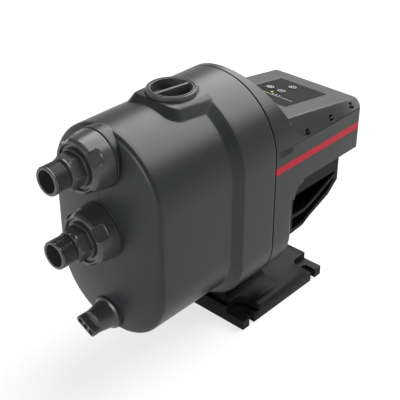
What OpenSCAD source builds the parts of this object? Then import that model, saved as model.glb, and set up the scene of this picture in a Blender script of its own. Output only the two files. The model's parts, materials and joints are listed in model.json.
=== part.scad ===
// Compact self-priming booster pump set: moulded pump casing, motor cover with control box,
// fan cover and base plate, with the pump stages, motor and valves inside.
// Frame: origin on the underside of the base plate at its centre, X across, Y from the
// pipe end (front) to the control box (rear), Z up. Sizes in millimetres.

/* [Casing outline] */
// Half width of the casing, and radius of its crown
shell_r = 89; // [80:0.5:96]
// Height of the crown's centre above the floor
crown_z = 219; // [205:1:230]
// Radius of the lower corners of the raised part
heel_r = 64; // [50:1:75]
// Height of the lower corners' centres
heel_z = 102; // [96:1:112]
// Wall of the casing
wall = 5; // [4:0.5:6]

/* [Casing length] */
// Place of the seam between casing and motor cover
seam_y = -31; // [-36:1:-28]
// Length of the casing, from the seam to the middle of the front face
casing_len = 192; // [186:1:206]
// Length of the raised part in front of the seam
raised_len = 56; // [50:1:62]
// Length of the sloping shoulder in front of the raised part
shoulder_len = 15; // [8:1:20]
// How far the nose is set in from the raised part
nose_step = 5.5; // [3:0.5:8]
// Half width of the flat under the nose
nose_flat = 4.5; // [3:0.5:12]
// Height of the centres of the nose's lower corners
nose_heel_z = 120.5; // [116:0.5:126]
// Rounding of the front face's edge
face_round = 12; // [8:0.5:14]
// Radius of the front face's shallow dome
face_r = 230; // [210:5:300]
// Width of the dark seam
seam_gap = 1.5; // [0.8:0.1:2.5]
// Depth of the dark seam
seam_depth = 2; // [1:0.5:3]

/* [Raised tongue round the priming plug] */
// Half width of the flat pad round the priming plug
tongue_half = 40; // [36:1:44]
// Reach of the pad in front of the raised part
tongue_reach = 53.5; // [50:0.5:62]
// Length of the pad's front slope
tongue_run = 9.5; // [6:0.5:14]
// Width of the pad's side slopes
tongue_side_run = 3; // [2:0.5:8]

/* [Unions] */
// Depth of the outlet union's axis below the top of the crown
port_drop = 38; // [36:1:46]
// Distance between the two unions
port_pitch = 90; // [84:1:100]
// Radius of the boss behind each union nut
boss_r = 34; // [33:0.5:37]
// How far the boss stands out from the middle of the front face
boss_len = 1; // [1:0.5:6]
// Radius of the union thread on the casing
union_r = 23.9; // [23:0.1:25]
// Length of the union thread
union_len = 14; // [12:1:20]
// Radius of the water way
way_r = 12.5; // [10:0.5:13.5]
// Radius of the pipe thread on the tailpiece
pipe_r = 16.625; // [16:0.125:18]
// Length of the pipe thread
pipe_len = 21; // [16:1:26]
// Width across flats of the tailpiece's hexagon
hex_af = 35; // [33:0.5:36]
// Length of the hexagon
hex_len = 13; // [9:1:18]
// Thickness of the union gasket
gasket_t = 2; // [1.5:0.1:3]
// Outer radius of the union nut at its rear
nut_r = 33.5; // [32:0.5:36]
// Outer radius of the union nut at its front
nut_front_r = 31; // [30:0.5:33]
// Distance of the nut's grip flats from its axis
nut_flat = 27.6; // [27:0.1:29]
// Length of the nut's grip flats
nut_flat_len = 17; // [10:1:22]

/* [Priming and drain plugs] */
// Distance of the priming plug in front of the seam
priming_fwd = 79; // [76:1:84]
// Outer radius of the priming plug's ring
priming_r = 28.7; // [28:0.1:30]
// Height of the priming plug's ring
priming_h = 5; // [4:0.5:7]
// Radius of the priming plug's thread
priming_thread_r = 26; // [24:0.5:26.5]
// Height of the priming seat above the crown
priming_seat = -1; // [-1.5:0.5:1.5]
// Height of the drain plug
drain_z = 64.6; // [62:0.2:70]
// Radius of the drain boss
drain_boss_r = 21; // [19:0.5:23]
// How far the drain boss ends behind the middle of the front face
drain_back = 3; // [0:0.5:4]
// Radius of the drain plug's thread
drain_thread_r = 10.5; // [9:0.5:12]
// Length of the drain plug in front of its boss
drain_len = 36; // [30:1:42]
// Length of the drain plug's grip bar
drain_bar = 30; // [24:1:34]

/* [Control box] */
// Width of the control box
box_w = 150; // [144:1:156]
// Rear end of the control box
box_rear_y = 142; // [136:1:152]
// Height of the control box's underside
box_z = 172; // [169:1:174]
// Height of the chamfer's lower edge
chamfer_z = 226.5; // [223:0.5:229]
// Width of the chamfer, seen from above
chamfer_w = 11.5; // [9:0.5:13]
// Height of the panel at its rear edge
panel_z = 236.5; // [235:0.5:242]
// Fall of the panel towards the rear for each millimetre
panel_fall = 0.155; // [0.1:0.005:0.18]
// Height of the stripe's lower edge
stripe_z = 198.5; // [194:0.5:202]
// Height of the stripe
stripe_h = 10; // [6:0.5:12]
// Thickness of the stripe
stripe_t = 1.5; // [1:0.1:2]
// Wall of the motor cover and the lid
cover_wall = 4; // [3.5:0.1:5]
// Width of the display
display_w = 70.5; // [64:0.5:76]
// Length of the display
display_l = 86; // [80:0.5:90]
// Distance of the display from the panel's rear edge
display_back = 26; // [22:0.5:30]
// Radius of the push buttons
button_r = 5.5; // [4.5:0.1:6]

/* [Motor cover and fan cover] */
// Place of the ring's rear edge on top of the crown
brow_y = -22.5; // [-24:0.5:-16]
// Run of the ring's leaning rear face for each millimetre of its height
brow_lean = 0.45; // [0.3:0.05:0.6]
// Radius of the sweep from the ring's rear face into the lid's edge
brow_r = 40; // [30:1:46]
// Length of the motor cover ring behind the seam
ring_len = 40; // [38:1:44]
// Rounding of the ring's rear edge
ring_round = 9; // [5:0.5:11]
// Half width of the fan cover
fan_cover_half = 84; // [80:0.5:86]
// Rear end of the fan cover
fan_cover_y = 106; // [103:1:112]
// Height of the fan cover's lower rear corner
fan_cover_heel_z = 135; // [130:1:138]
// Height of the fan cover's underside behind the ring
fan_cover_low_z = 96; // [92:1:100]

/* [Motor and pump stages] */
// Height of the shaft
shaft_z = 168; // [166:1:170]
// Radius of the shaft at its bearings
shaft_r = 7.5; // [7:0.5:9]
// Radius of the shaft under the impellers and the fan
shaft_end_r = 6; // [5:0.5:6.5]
// Outer radius of the motor frame
frame_r = 50; // [48:0.5:54]
// Radius of the cooling fan
fan_r = 38; // [32:1:40]
// Radius of the impellers
impeller_r = 42; // [38:1:43]
// Outer radius of the stage chambers
chamber_r = 50; // [49:0.5:53]
// Length of each stage
stage_len = 24; // [23:0.5:26]
// Radius of the pressure tank
tank_r = 27; // [24:1:29]

/* [Base plate] */
// Length of the base plate
base_l = 160; // [154:1:180]
// How far the base plate is set in from the sides of the casing
base_in = 2; // [0:0.5:6]
// Thickness of the base plate
base_h = 22; // [18:1:24]
// Thickness of the corner tabs
tab_h = 13; // [10:0.5:15]
// Width of the bolt slots
slot_w = 9.5; // [9:0.1:11]
// Length of the bolt slots
slot_l = 18; // [14:0.5:22]
// Distance between the slots along the base
slot_pitch = 126.5; // [120:0.5:130]
// Inner edge of the corner pockets from the middle
pocket_x = 60; // [56:0.5:66]
// Length of the corner pockets
pocket_l = 31; // [28:0.5:32]

/* [Hidden] */
$fn = 72;

fit = 0.3;        // clearance between pieces that move or slide together
run = 0.05;       // running clearance of the shaft in its bearings
over = 1;         // how far cutting tools reach past a face

shell_col = "#4a4b4c";
black_col = "#1c1d1e";
steel_col = "#b9bcc0";
alu_col = "#a8abae";
rubber_col = "#151515";

face_y = seam_y - casing_len;
shoulder_y = seam_y - raised_len;
casing_end = seam_y - seam_gap / 2;
ring_front = seam_y + seam_gap / 2;
ring_rear = seam_y + ring_len;
nose_r = shell_r - nose_step;
nose_heel_r = nose_r - nose_flat;

// front face: a dome arc that runs out tangent into the edge round
face_flat = 3;                           // half width of the flat in the middle of the dome
dome_in = nose_heel_r - face_flat;       // how far inside the outline the dome's arc ends
round_y = face_y + face_r - sqrt(pow(face_r - face_round, 2) - pow(dome_in - face_round, 2));
round_sin = (dome_in - face_round) / (face_r - face_round);

shell_floor = heel_z - heel_r;

spigot_len = 10;
flange_y = casing_end - spigot_len;      // wet face of the motor flange
flange_t = 4.5;                          // flange behind the seam
flange_back = ring_front + flange_t;     // dry face of the motor flange

// unions, counted forward from the front face
boss_y = face_y - boss_len;
union_y = boss_y - union_len;
tail_y = union_y - gasket_t;
tail_flange = 6;
lip_y = tail_y - tail_flange - 0.4;
nut_lip = 6;
nut_y = lip_y - nut_lip;
neck_y = nut_y - 1;
hex_y = neck_y - hex_len;
collar_len = 3;
thread_y = hex_y - collar_len;
pipe_y = thread_y - pipe_len;
tail_flange_r = union_r - 0.5;
lip_r = 21.6;
neck_r = lip_r - 0.5;
collar_r = pipe_r + 1;
port_z = crown_z + shell_r - port_drop;
lower_z = port_z - port_pitch;

// priming plug
priming_y = seam_y - priming_fwd;
seat_z = crown_z + shell_r + priming_seat;
priming_hole = priming_thread_r + fit;
priming_stub = 19;
cup_depth = 12;
cup_r = priming_thread_r - 2.7;

// drain plug
drain_y = face_y + drain_back;
drain_hole = drain_thread_r + fit;
drain_stub = 14;
drain_end = drain_y - drain_len;

// control box
box_x1 = shell_r;
box_x0 = shell_r - box_w;
box_cx = (box_x0 + box_x1) / 2;
panel_deg = atan(panel_fall);
lid_z = chamfer_z;
lid_inset = 0.5;                         // step from the box's walls in to the lid
box_round = 8;
button_pos = [[-19.5, 70], [-1, 70.5], [-2.5, 45.5]];
light_pos = [-7, 82];
button_skirt = 1.2;
board_gap = 8;
board_w = 104;
board_l = 84;
board_back = 30;
board_t = 1.6;
board_post = 4;
display_t = 1;
screw_y = [30, 79, 124];

// motor and stages
bearing_r = 17.5;
bearing_w = 11;
front_bearing_y = flange_back + 9;
stator_y = flange_back + 33;
stator_l = 42;
rotor_r = 30;
frame_wall = 3.5;
frame_end = stator_y + stator_l + 14;
rear_bearing_y = frame_end - 4;
shield_t = 6;
fan_y = frame_end + shield_t + 5;
hub_r = 22;
seal_r = 16;
seat_y = flange_back - 2;
chamber_wall = 4;
plate_t = 3;
hub_back = 9;
hub_len = 12;
stack_y = flange_y - 3 * stage_len;
eye_r = 18;
spacer_r = 9;
plate_hole = 14.5;
nut_len = 10;
shaft_front = flange_y - 2 * stage_len - hub_back - hub_len - nut_len - 3;
shaft_rear = fan_y + 16;

// suction side
tube_r = 25;
tube_in = 20;
tube_len = 58;
tube_end = face_y + wall + tube_len;
seat_t = 6;
cone_y = face_y + wall + seat_t + fit;
cone_t = 5;
guide_t = 6;
guide_y = tube_end - guide_t - 2;
stem_r = 3;
manifold_r = 44;
manifold_wall = 4;
manifold_y = tube_end - manifold_wall - 2;

// pressure tank under the stages
foot_boss = 16;                          // height of the feet's bosses inside the casing
tank_z = shell_floor + foot_boss + 2 + tank_r;
tank_neck = 12;
tank_back = flange_y - tank_neck;
tank_len = 92;
tank_wall = 2;

// screws between flange and casing, on the middle of the bosses
screw_r = 3;
screw_in = 13;
screw_at = [
  [(shell_r - screw_in) * cos(35), crown_z + (shell_r - screw_in) * sin(35)],
  [-(shell_r - screw_in) * cos(35), crown_z + (shell_r - screw_in) * sin(35)],
  [shell_r - screw_in, 140],
  [-(shell_r - screw_in), 140],
  [shell_r - heel_r + (heel_r - screw_in) * cos(45), heel_z - (heel_r - screw_in) * sin(45)],
  [-(shell_r - heel_r + (heel_r - screw_in) * cos(45)), heel_z - (heel_r - screw_in) * sin(45)]
];
foot_x = 14;
foot_y = [casing_end - 30, ring_front + 20];
foot_screw_r = 3;

// Outline of the raised part, set in by d, drawn in X and Z
module raised2d(d = 0) outline2d(shell_r, crown_z, heel_r, heel_z, d);

// Outline of the nose, set in by d, drawn in X and Z
module nose2d(d = 0) outline2d(nose_r, crown_z, nose_heel_r, nose_heel_z, d);

// Upright outline: a crown arc, straight sides and two corner arcs on a flat
module outline2d(r, zc, h, zh, d) {
  translate([0, zc]) circle(r - d, $fn = 144);
  translate([-(r - d), zh]) square([2 * (r - d), zc - zh]);
  for (s = [-1, 1]) translate([s * (r - h), zh]) circle(h - d, $fn = 144);
  translate([-(r - h), zh - h + d]) square([2 * (r - h), h - d]);
}

// Carries a small profile round the outline: x out from the outline, y along the pump
module around(r, zc, h, zh) {
  translate([0, 0, zc]) rotate([-90, 0, 0]) rotate([0, 0, 180])
    rotate_extrude(angle = 180, $fn = 144) translate([r, 0]) children();
  translate([r - h, 0, zh]) rotate([-90, 0, 0])
    rotate_extrude(angle = 90, $fn = 144) translate([h, 0]) children();
  translate([h - r, 0, zh]) rotate([-90, 0, 0]) rotate([0, 0, 90])
    rotate_extrude(angle = 90, $fn = 144) translate([h, 0]) children();
  for (m = [0, 1]) mirror([m, 0, 0])
    translate([0, 0, zh]) linear_extrude(zc - zh) translate([r, 0]) children();
  translate([h - r, 0, zh - h]) rotate([0, 90, 0]) linear_extrude(2 * (r - h)) children();
}

// Prism from y0 to y1 of an outline drawn in X and Z
module slab(y0, y1) translate([0, y1, 0]) rotate([90, 0, 0]) linear_extrude(y1 - y0) children();

// Prism from x0 to x1 of an outline drawn in Y and Z
module side_slab(x0, x1) translate([x0, 0, 0]) rotate([90, 0, 90]) linear_extrude(x1 - x0) children();

// Turned piece on an axis along Y at height z: profile x is the radius, y the place along Y
module lathe(z) translate([0, 0, z]) rotate([-90, 0, 0]) rotate_extrude() children();

// Plain cylinder along Y from y0 to y1 at x, z
module rod(x, z, y0, y1, r, n = 72)
  translate([x, y0, z]) rotate([-90, 0, 0]) cylinder(r = r, h = y1 - y0, $fn = n);

// Quarter round that fills an edge: corner at the origin, both legs of length f
module edge_round(f) intersection() {
  translate([-f, f]) circle(f);
  translate([-f, 0]) square([f, f]);
}

// Puts children in the panel's own frame: origin on its rear edge, y to the rear, z out of it
module on_panel() translate([box_cx, box_rear_y, panel_z]) rotate([-panel_deg, 0, 0]) children();

// Pump casing

// Half section of the front face, set in by d: x out from the outline, y along the pump
module face_section(d) intersection() {
  union() {
    translate([d - face_round, round_y]) circle(face_round - d);
    intersection() {
      translate([d - dome_in, face_y + face_r]) circle(face_r - d, $fn = 180);
      translate([d - dome_in, face_y]) square([dome_in - face_round + (face_round - d) * round_sin, 60]);
    }
    translate([d - dome_in - over, face_y + d]) square([2 * over, 60]);
    translate([d - dome_in - over, round_y]) square([dome_in - d + over, over]);
  }
  translate([d - dome_in - over, face_y]) square([dome_in - d + over, round_y - face_y + over]);
}

// Nose with its domed face, set in by d
module nose_form(d = 0) {
  slab(round_y, shoulder_y + 4) nose2d(d);
  around(nose_r - d, crown_z, nose_heel_r - d, nose_heel_z) face_section(d);
  slab(face_y + d, round_y + over) nose2d(dome_in);
}

// Sloping shoulder between nose and raised part
module shoulder_solid() {
  d = 18;
  around(shell_r, crown_z, heel_r, heel_z)
    polygon([[0, shoulder_y], [-d, shoulder_y - d * shoulder_len / nose_step],
             [-d, shoulder_y + 4], [-4, shoulder_y + 4]]);
}

// Plan of the pad from its front edge back to a place in Y, with rounded front corners
module pad_plan(half, front, rear, r) hull() {
  for (s = [-1, 1]) translate([s * (half - r), front + r]) circle(r, $fn = 32);
  translate([-half, front + r]) square([2 * half, rear - front - r]);
}

// Flat pad round the priming plug: slopes down to the nose, runs back into the crown
module tongue_solid() {
  front = shoulder_y - tongue_reach;
  hull() {
    intersection() {
      slab(front - tongue_run, shoulder_y + 3) translate([0, crown_z]) circle(nose_r - 0.2, $fn = 96);
      translate([0, 0, crown_z + nose_r / 2]) linear_extrude(shell_r)
        pad_plan(tongue_half + tongue_side_run, front - tongue_run, shoulder_y + 3, 14);
    }
    translate([0, 0, seat_z - 0.5]) linear_extrude(0.8) pad_plan(tongue_half, front, priming_y + 8, 10);
    slab(shoulder_y + 2, shoulder_y + 3) intersection() {
      translate([0, crown_z]) circle(shell_r, $fn = 96);
      translate([-tongue_half, crown_z + nose_r / 2]) square([2 * tongue_half, shell_r]);
    }
  }
}

// Boss and thread of one union on the front face
module port_boss(z) {
  lathe(z) polygon([[0, boss_y], [boss_r, boss_y], [boss_r, face_y + 12],
                    [boss_r - 4, face_y + 26], [0, face_y + 26]]);
  rod(0, z, union_y, boss_y + over, union_r);
}

module pump_casing() color(shell_col) difference() {
  union() {
    difference() {
      union() {
        slab(shoulder_y, casing_end) raised2d();
        shoulder_solid();
        nose_form();
        tongue_solid();
        for (z = [port_z, lower_z]) port_boss(z);
        rod(0, drain_z, drain_y, face_y + 12, drain_boss_r);
        translate([0, priming_y, seat_z - 14]) cylinder(r = priming_r, h = 14);
      }
      // hollow
      slab(shoulder_y, casing_end + over) raised2d(wall);
      nose_form(wall);
    }
    // suction tube, priming neck, screw bosses and feet inside the wall
    rod(0, lower_z, face_y + wall / 2, tube_end, tube_r);
    intersection() {
      translate([0, priming_y, seat_z - priming_stub - 2]) cylinder(r = priming_r, h = priming_stub);
      slab(face_y, casing_end) raised2d(wall - over);
    }
    intersection() {
      union() for (p = screw_at) rod(p[0], p[1], flange_y - 18, flange_y, 9.5);
      slab(face_y, casing_end) raised2d(wall - over);
    }
    for (s = [-1, 1]) translate([s * foot_x, foot_y[0], shell_floor + over]) cylinder(r = 8, h = foot_boss);
  }
  for (z = [port_z, lower_z]) rod(0, z, union_y - over, face_y + 30, way_r);
  rod(0, lower_z, face_y + wall, tube_end + over, tube_in);
  translate([0, priming_y, seat_z - priming_stub - 12]) cylinder(r = priming_hole, h = priming_stub + 13);
  translate([0, priming_y, seat_z]) cylinder(r = priming_r + fit, h = 20);
  rod(0, drain_z, drain_y - over, face_y + 24, drain_hole);
  rod(0, drain_z, face_y - over, drain_y, drain_boss_r);
  for (p = screw_at) rod(p[0], p[1], flange_y - 14, flange_y + over, screw_r + fit);
  for (s = [-1, 1]) translate([s * foot_x, foot_y[0], shell_floor - over])
    cylinder(r = foot_screw_r + fit, h = 14 + over);
}

// O-ring between casing and motor flange
seal_sec = 1.5;
module casing_seal() color(rubber_col)
  around(shell_r, crown_z, heel_r, heel_z)
    translate([-wall - fit - seal_sec, flange_y + spigot_len / 2]) circle(seal_sec, $fn = 24);

module casing_screws() color(steel_col) for (p = screw_at) {
  rod(p[0], p[1], flange_y - 12, flange_back + over, screw_r, 36);
  rod(p[0], p[1], flange_back, flange_back + 5, 5, 36);
}

// Motor flange: bulkhead with spigot, seal chamber, front bearing seat
module motor_flange() color(alu_col) difference() {
  union() {
    slab(flange_y, casing_end) raised2d(wall + fit);
    slab(casing_end, ring_front) raised2d(seam_depth);
    slab(ring_front, flange_back) raised2d(cover_wall + fit);
    rod(0, shaft_z, flange_y, front_bearing_y + bearing_w, hub_r);
  }
  // groove of the casing O-ring
  around(shell_r, crown_z, heel_r, heel_z)
    translate([-wall - 2 * seal_sec - fit, flange_y + spigot_len / 2 - seal_sec - fit])
      square([2 * seal_sec + fit + over, 2 * seal_sec + 2 * fit]);
  rod(0, shaft_z, flange_y - over, seat_y, seal_r);
  rod(0, shaft_z, flange_y, front_bearing_y + over, shaft_r + 1);
  rod(0, shaft_z, front_bearing_y, front_bearing_y + bearing_w + over, bearing_r);
  for (p = screw_at) rod(p[0], p[1], flange_y - over, flange_back + over, screw_r + fit);
  rod(0, sensor_z, flange_y - over, flange_back + over, sensor_r + fit);
  rod(0, tank_z, flange_y - over, flange_y + 6, tank_stub_r + fit);
}

sensor_z = shaft_z + frame_r + 24;
sensor_r = 5;
tank_stub_r = 5;
module pressure_sensor() color(steel_col) {
  rod(0, sensor_z, flange_y - 3, flange_back + over, sensor_r);
  rod(0, sensor_z, flange_back, flange_back + 5, 11, 6);
  rod(0, sensor_z, flange_back + 5, flange_back + 20, 8);
}

// Motor cover: ring behind the seam, lower half of the control box

// Plan of the control box with rounded rear corners, set in by d
module box_plan(d = 0, y0 = 0) {
  translate([box_x0 + d, y0]) square([box_w - 2 * d, box_rear_y - box_round - y0]);
  translate([box_x0 + box_round, y0]) square([box_w - 2 * box_round, box_rear_y - d - y0]);
  for (x = [box_x0 + box_round, box_x1 - box_round])
    translate([x, box_rear_y - box_round]) circle(box_round - d);
}

// rear face of the ring above the box: leans back from the crown, then sweeps into the lid's edge
brow_top = crown_z + shell_r;
brow_deg = atan(brow_lean);
brow_foot = brow_y + (brow_top - lid_z) * brow_lean;
brow_t = brow_r * tan((90 - brow_deg) / 2);
brow_end = brow_foot + brow_t;
brow_wall = 3.3;

// Side outline in Y and Z of what lies in front of the leaning face
module brow2d() polygon([[seam_y - 40, 0], [seam_y - 40, brow_top + over],
  [brow_y - over * brow_lean, brow_top + over], [brow_foot, lid_z], [brow_foot, 0]]);

// Sweep between the leaning face and the lid's edge
module brow_sweep2d() difference() {
  polygon([[brow_foot - over, lid_z], [brow_end - brow_r * 0.2, lid_z],
           [brow_end - brow_r * 0.2, lid_z + brow_t * cos(brow_deg)],
           [brow_foot - brow_t * sin(brow_deg), lid_z + brow_t * cos(brow_deg)]]);
  translate([brow_end, lid_z + brow_r]) circle(brow_r, $fn = 144);
}

// Ring behind the seam, solid, with its rounded rear edge and leaning face
module ring_solid() {
  intersection() {
    union() {
      slab(ring_front, ring_rear - ring_round) raised2d();
      slab(ring_rear - ring_round - over, ring_rear) raised2d(ring_round);
      around(shell_r, crown_z, heel_r, heel_z)
        translate([0, ring_rear]) mirror([0, 1]) edge_round(ring_round);
    }
    side_slab(-shell_r - over, shell_r + over) brow2d();
  }
  // web that carries the crown's surface back to the lid's edge
  intersection() {
    slab(ring_rear - ring_round - over, brow_end) raised2d();
    side_slab(box_x1 - chamfer_w - 8, shell_r + over) {
      intersection() {
        brow2d();
        translate([0, lid_z]) square([brow_end, brow_t]);
      }
      brow_sweep2d();
    }
  }
}

module motor_cover() color(shell_col) difference() {
  union() {
    difference() {
      ring_solid();
      intersection() {
        slab(ring_front - over, ring_rear - cover_wall) raised2d(cover_wall);
        side_slab(-shell_r, shell_r) translate([-brow_wall, 0]) brow2d();
      }
      rod(0, shaft_z, ring_rear - cover_wall - over, ring_rear + over, frame_r + 6);
    }
    // lower half of the box, with a shelf along each wall
    difference() {
      translate([0, 0, box_z]) linear_extrude(lid_z - box_z) box_plan(0, ring_rear - ring_round);
      translate([0, 0, box_z + 3]) linear_extrude(lid_z - box_z) box_plan(cover_wall, ring_rear);
      translate([-frame_r - 5, ring_rear - ring_round - over, box_z - over])
        cube([2 * (frame_r + 5), fan_cover_y - ring_rear + ring_round - 4, 6]);
      slab(ring_rear - ring_round - over, ring_rear - cover_wall) raised2d(cover_wall);
      rod(0, shaft_z, ring_rear - ring_round - over, ring_rear + over, frame_r + 6);
    }
    // posts that take the lid's screws
    intersection() {
      for (y = screw_y, x = [box_x0 + screw_x, box_x1 - screw_x])
        translate([x, y, lid_z - post_h]) cylinder(r = post_r, h = post_h);
      linear_extrude(lid_z) box_plan(over, ring_rear);
    }
    // web that rounds the corner between ring and box
    side_slab(shell_r - cover_wall, shell_r) difference() {
      translate([ring_rear - ring_round - 2, box_z - 21]) square([ring_round + 18, 22]);
      translate([ring_rear + 16, box_z - 20]) circle(16);
      translate([ring_rear, box_z - 22]) square([over + 30, 2]);
    }
  }
  // seat of the stripe
  translate([0, 0, stripe_z]) linear_extrude(stripe_h) stripe_plan(0, over);
  for (s = [-1, 1]) translate([s * foot_x, foot_y[1], shell_floor - over])
    cylinder(r = foot_screw_r + fit, h = cover_wall + 2 * over);
  rod(gland_x, gland_z, box_rear_y - cover_wall - over, box_rear_y + over, gland_r + fit);
  for (y = screw_y, x = [box_x0 + screw_x, box_x1 - screw_x])
    translate([x, y, lid_z - post_h + 2]) cylinder(r = 2 + fit, h = post_h + 6);
}

// Strip along the near side and round the rear corner
module stripe_plan(d = 0, out = 0) {
  difference() {
    translate([box_x1 - box_round - 6, ring_front - over])
      square([box_round + 6 + out, box_rear_y - ring_front + over + out]);
    box_plan(stripe_t - d, ring_front - 2 * over);
    translate([0, ring_front - 3 * over]) square([box_x1 - box_round - 6 + d, 200]);
    translate([0, ring_front - 3 * over]) square([box_x1 + 9, 3 * over + d]);
  }
}

module trim_stripe() color("#b23442") intersection() {
  translate([0, 0, stripe_z + 0.1]) linear_extrude(stripe_h - 0.2) stripe_plan(0.1);
  translate([0, 0, stripe_z]) linear_extrude(stripe_h) box_plan(0, ring_front);
}

// Control lid: convex block between its front and rear profiles, hollowed from below

// Cross outline of the lid at y, set in by d, as points in X, Y and Z
function lid_section(y, d, low) = let (zp = panel_z + (box_rear_y - y) * panel_fall - d, e = d + lid_inset) [
  [box_x0 + e, y, lid_z - low], [box_x1 - e, y, lid_z - low], [box_x1 - e, y, chamfer_z + 1 - d * 0.6],
  [box_x1 - chamfer_w - d * 0.6, y, zp], [box_x0 + chamfer_w + d * 0.6, y, zp],
  [box_x0 + e, y, chamfer_z + 1 - d * 0.6]];

// Block between the front and the rear cross outline
module lid_block(d = 0, low = 0) {
  y0 = d > 0 ? ring_rear - 2 : ring_rear - 2 * ring_round;
  polyhedron(concat(lid_section(y0, d, low), lid_section(box_rear_y - lid_inset - d, d, low)),
    concat([[5, 4, 3, 2, 1, 0], [6, 7, 8, 9, 10, 11]],
           [for (i = [0 : 5], t = [0, 1]) let (j = (i + 1) % 6) t == 0 ? [i, j, j + 6] : [i, j + 6, i + 6]]));
}

screw_x = chamfer_w / 2;
screw_seat_z = chamfer_z + 5;
post_r = 5.5;
post_h = 12;
module control_lid() color(shell_col) difference() {
  union() {
    difference() {
      intersection() {
        lid_block();
        translate([0, 0, lid_z - over]) linear_extrude(80) box_plan(lid_inset, ring_rear - 20);
      }
      lid_block(cover_wall, 6);
    }
    // screw posts in the chamfers and board posts under the panel
    intersection() {
      lid_block();
      union() {
        for (y = screw_y, x = [box_x0 + screw_x, box_x1 - screw_x])
          translate([x, y, lid_z]) cylinder(r = post_r, h = 60);
        on_panel() for (p = board_posts()) translate([p[0], p[1], -board_gap])
          cylinder(r = board_post, h = board_gap - 1);
      }
      translate([0, 0, lid_z - over]) linear_extrude(80) box_plan(lid_inset, ring_rear - 20);
    }
  }
  ring_solid();
  for (y = screw_y, x = [box_x0 + screw_x, box_x1 - screw_x]) {
    translate([x, y, screw_seat_z]) cylinder(r = 4, h = 60);
    translate([x, y, lid_z - over]) cylinder(r = 2 + fit, h = 60);
  }
  on_panel() {
    translate([-display_w / 2 - 0.1, -display_back - display_l - 0.1, -display_t])
      cube([display_w + 0.2, display_l + 0.2, 20]);
    for (p = button_pos) translate([p[0], -p[1], -20]) cylinder(r = button_r + button_skirt + fit, h = 30);
    translate([light_pos[0], -light_pos[1], -20]) cylinder(r = 1.5 + fit, h = 30);
    for (p = board_posts()) translate([p[0], p[1], -board_gap - over]) cylinder(r = 1.3, h = 5);
  }
}

function board_posts() = [for (x = [-1, 1], y = [4, board_l - 4])
  [x * (board_w / 2 - 6), -board_back - y]];

module lid_screws() color(steel_col)
  for (y = screw_y, x = [box_x0 + screw_x, box_x1 - screw_x]) translate([x, y, 0]) {
    translate([0, 0, screw_seat_z]) difference() {
      cylinder(r = 3.5, h = 2.6);
      translate([0, 0, 1.2]) cylinder(r = 1.6, h = 2, $fn = 6);
    }
    translate([0, 0, lid_z - post_h + 3]) cylinder(r = 2, h = screw_seat_z - lid_z + post_h - 2.5);
  }

// Display overlay, sunk flush in the panel
module display_panel() color("#2f3032") on_panel() difference() {
  translate([-display_w / 2, -display_back - display_l, -display_t])
    cube([display_w, display_l, display_t + 0.2]);
  for (p = button_pos) translate([p[0], -p[1], -5]) cylinder(r = button_r + fit, h = 10);
  translate([light_pos[0], -light_pos[1], -5]) cylinder(r = 1.5 + fit, h = 10);
}

// Push button with a skirt that keeps it under the overlay
module button(i) color("#3a3b3d") on_panel() translate([button_pos[i][0], -button_pos[i][1], 0]) {
  translate([0, 0, -display_t - 2.3]) cylinder(r = button_r + button_skirt, h = 2);
  translate([0, 0, -display_t - 1]) cylinder(r = button_r, h = display_t + 2);
  translate([0, 0, -board_gap + 3.3]) cylinder(r = 1.8, h = 3);
}
module button_power() button(0);
module button_mode() button(1);
module button_reset() button(2);

module status_light() color("#d8c84a") on_panel() translate([light_pos[0], -light_pos[1], -board_gap])
  cylinder(r = 1.5, h = board_gap + 0.4, $fn = 32);

// Control board with tact switches, relay, coil and terminal block on its upper side
module control_board() color("#1f5a3a") on_panel() {
  difference() {
    translate([-board_w / 2, -board_back - board_l, -board_gap - board_t]) cube([board_w, board_l, board_t]);
    for (p = board_posts()) translate([p[0], p[1], -board_gap - 5]) cylinder(r = 1.8, h = 10);
  }
  for (p = button_pos) translate([p[0] - 3, -p[1] - 3, -board_gap]) cube([6, 6, 2]);
  translate([14, -board_back - 30, -board_gap]) cube([18, 14, 3.5]);
  translate([16, -board_back - 60, -board_gap]) cube([22, 12, 3.5]);
  translate([-38, -board_back - 26, -board_gap]) cube([12, 20, 3.5]);
}

module board_screws() color(steel_col) on_panel() for (p = board_posts()) translate([p[0], p[1], 0]) {
  translate([0, 0, -board_gap - board_t - 2]) cylinder(r = 2.6, h = 2, $fn = 32);
  translate([0, 0, -board_gap - board_t - 1]) cylinder(r = 1.2, h = 5, $fn = 32);
}

// Run capacitor on the shelf beside the motor
cap_r = 11;
module run_capacitor() color("#c9c6bd") {
  x = box_x1 - cover_wall - cap_r - 1;
  z = box_z + 3 + cap_r;
  rod(x, z, ring_rear + 30, ring_rear + 92, cap_r);
  for (s = [-3, 3]) rod(x + s, z, ring_rear + 92, ring_rear + 98, 1.2, 24);
}

// Cable gland in the rear wall
gland_x = box_cx + 20;
gland_z = box_z + 15;
gland_r = 10;
cable_r = 4.5;
module cable_gland() color(black_col) difference() {
  union() {
    rod(gland_x, gland_z, box_rear_y - cover_wall - 8, box_rear_y + over, gland_r);
    rod(gland_x, gland_z, box_rear_y, box_rear_y + 5, 13.5, 6);
    rod(gland_x, gland_z, box_rear_y + 5, box_rear_y + 12, 11.5);
    translate([gland_x, 0, 0]) lathe(gland_z)
      polygon([[0, box_rear_y + 12], [11.5, box_rear_y + 12], [7.5, box_rear_y + 18], [0, box_rear_y + 18]]);
  }
  rod(gland_x, gland_z, box_rear_y - cover_wall - 9, box_rear_y + 19, cable_r);
}

module gland_locknut() color(black_col) difference() {
  rod(gland_x, gland_z, box_rear_y - cover_wall - 5, box_rear_y - cover_wall, 13.5, 6);
  rod(gland_x, gland_z, box_rear_y - cover_wall - 6, box_rear_y, gland_r);
}

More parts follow.
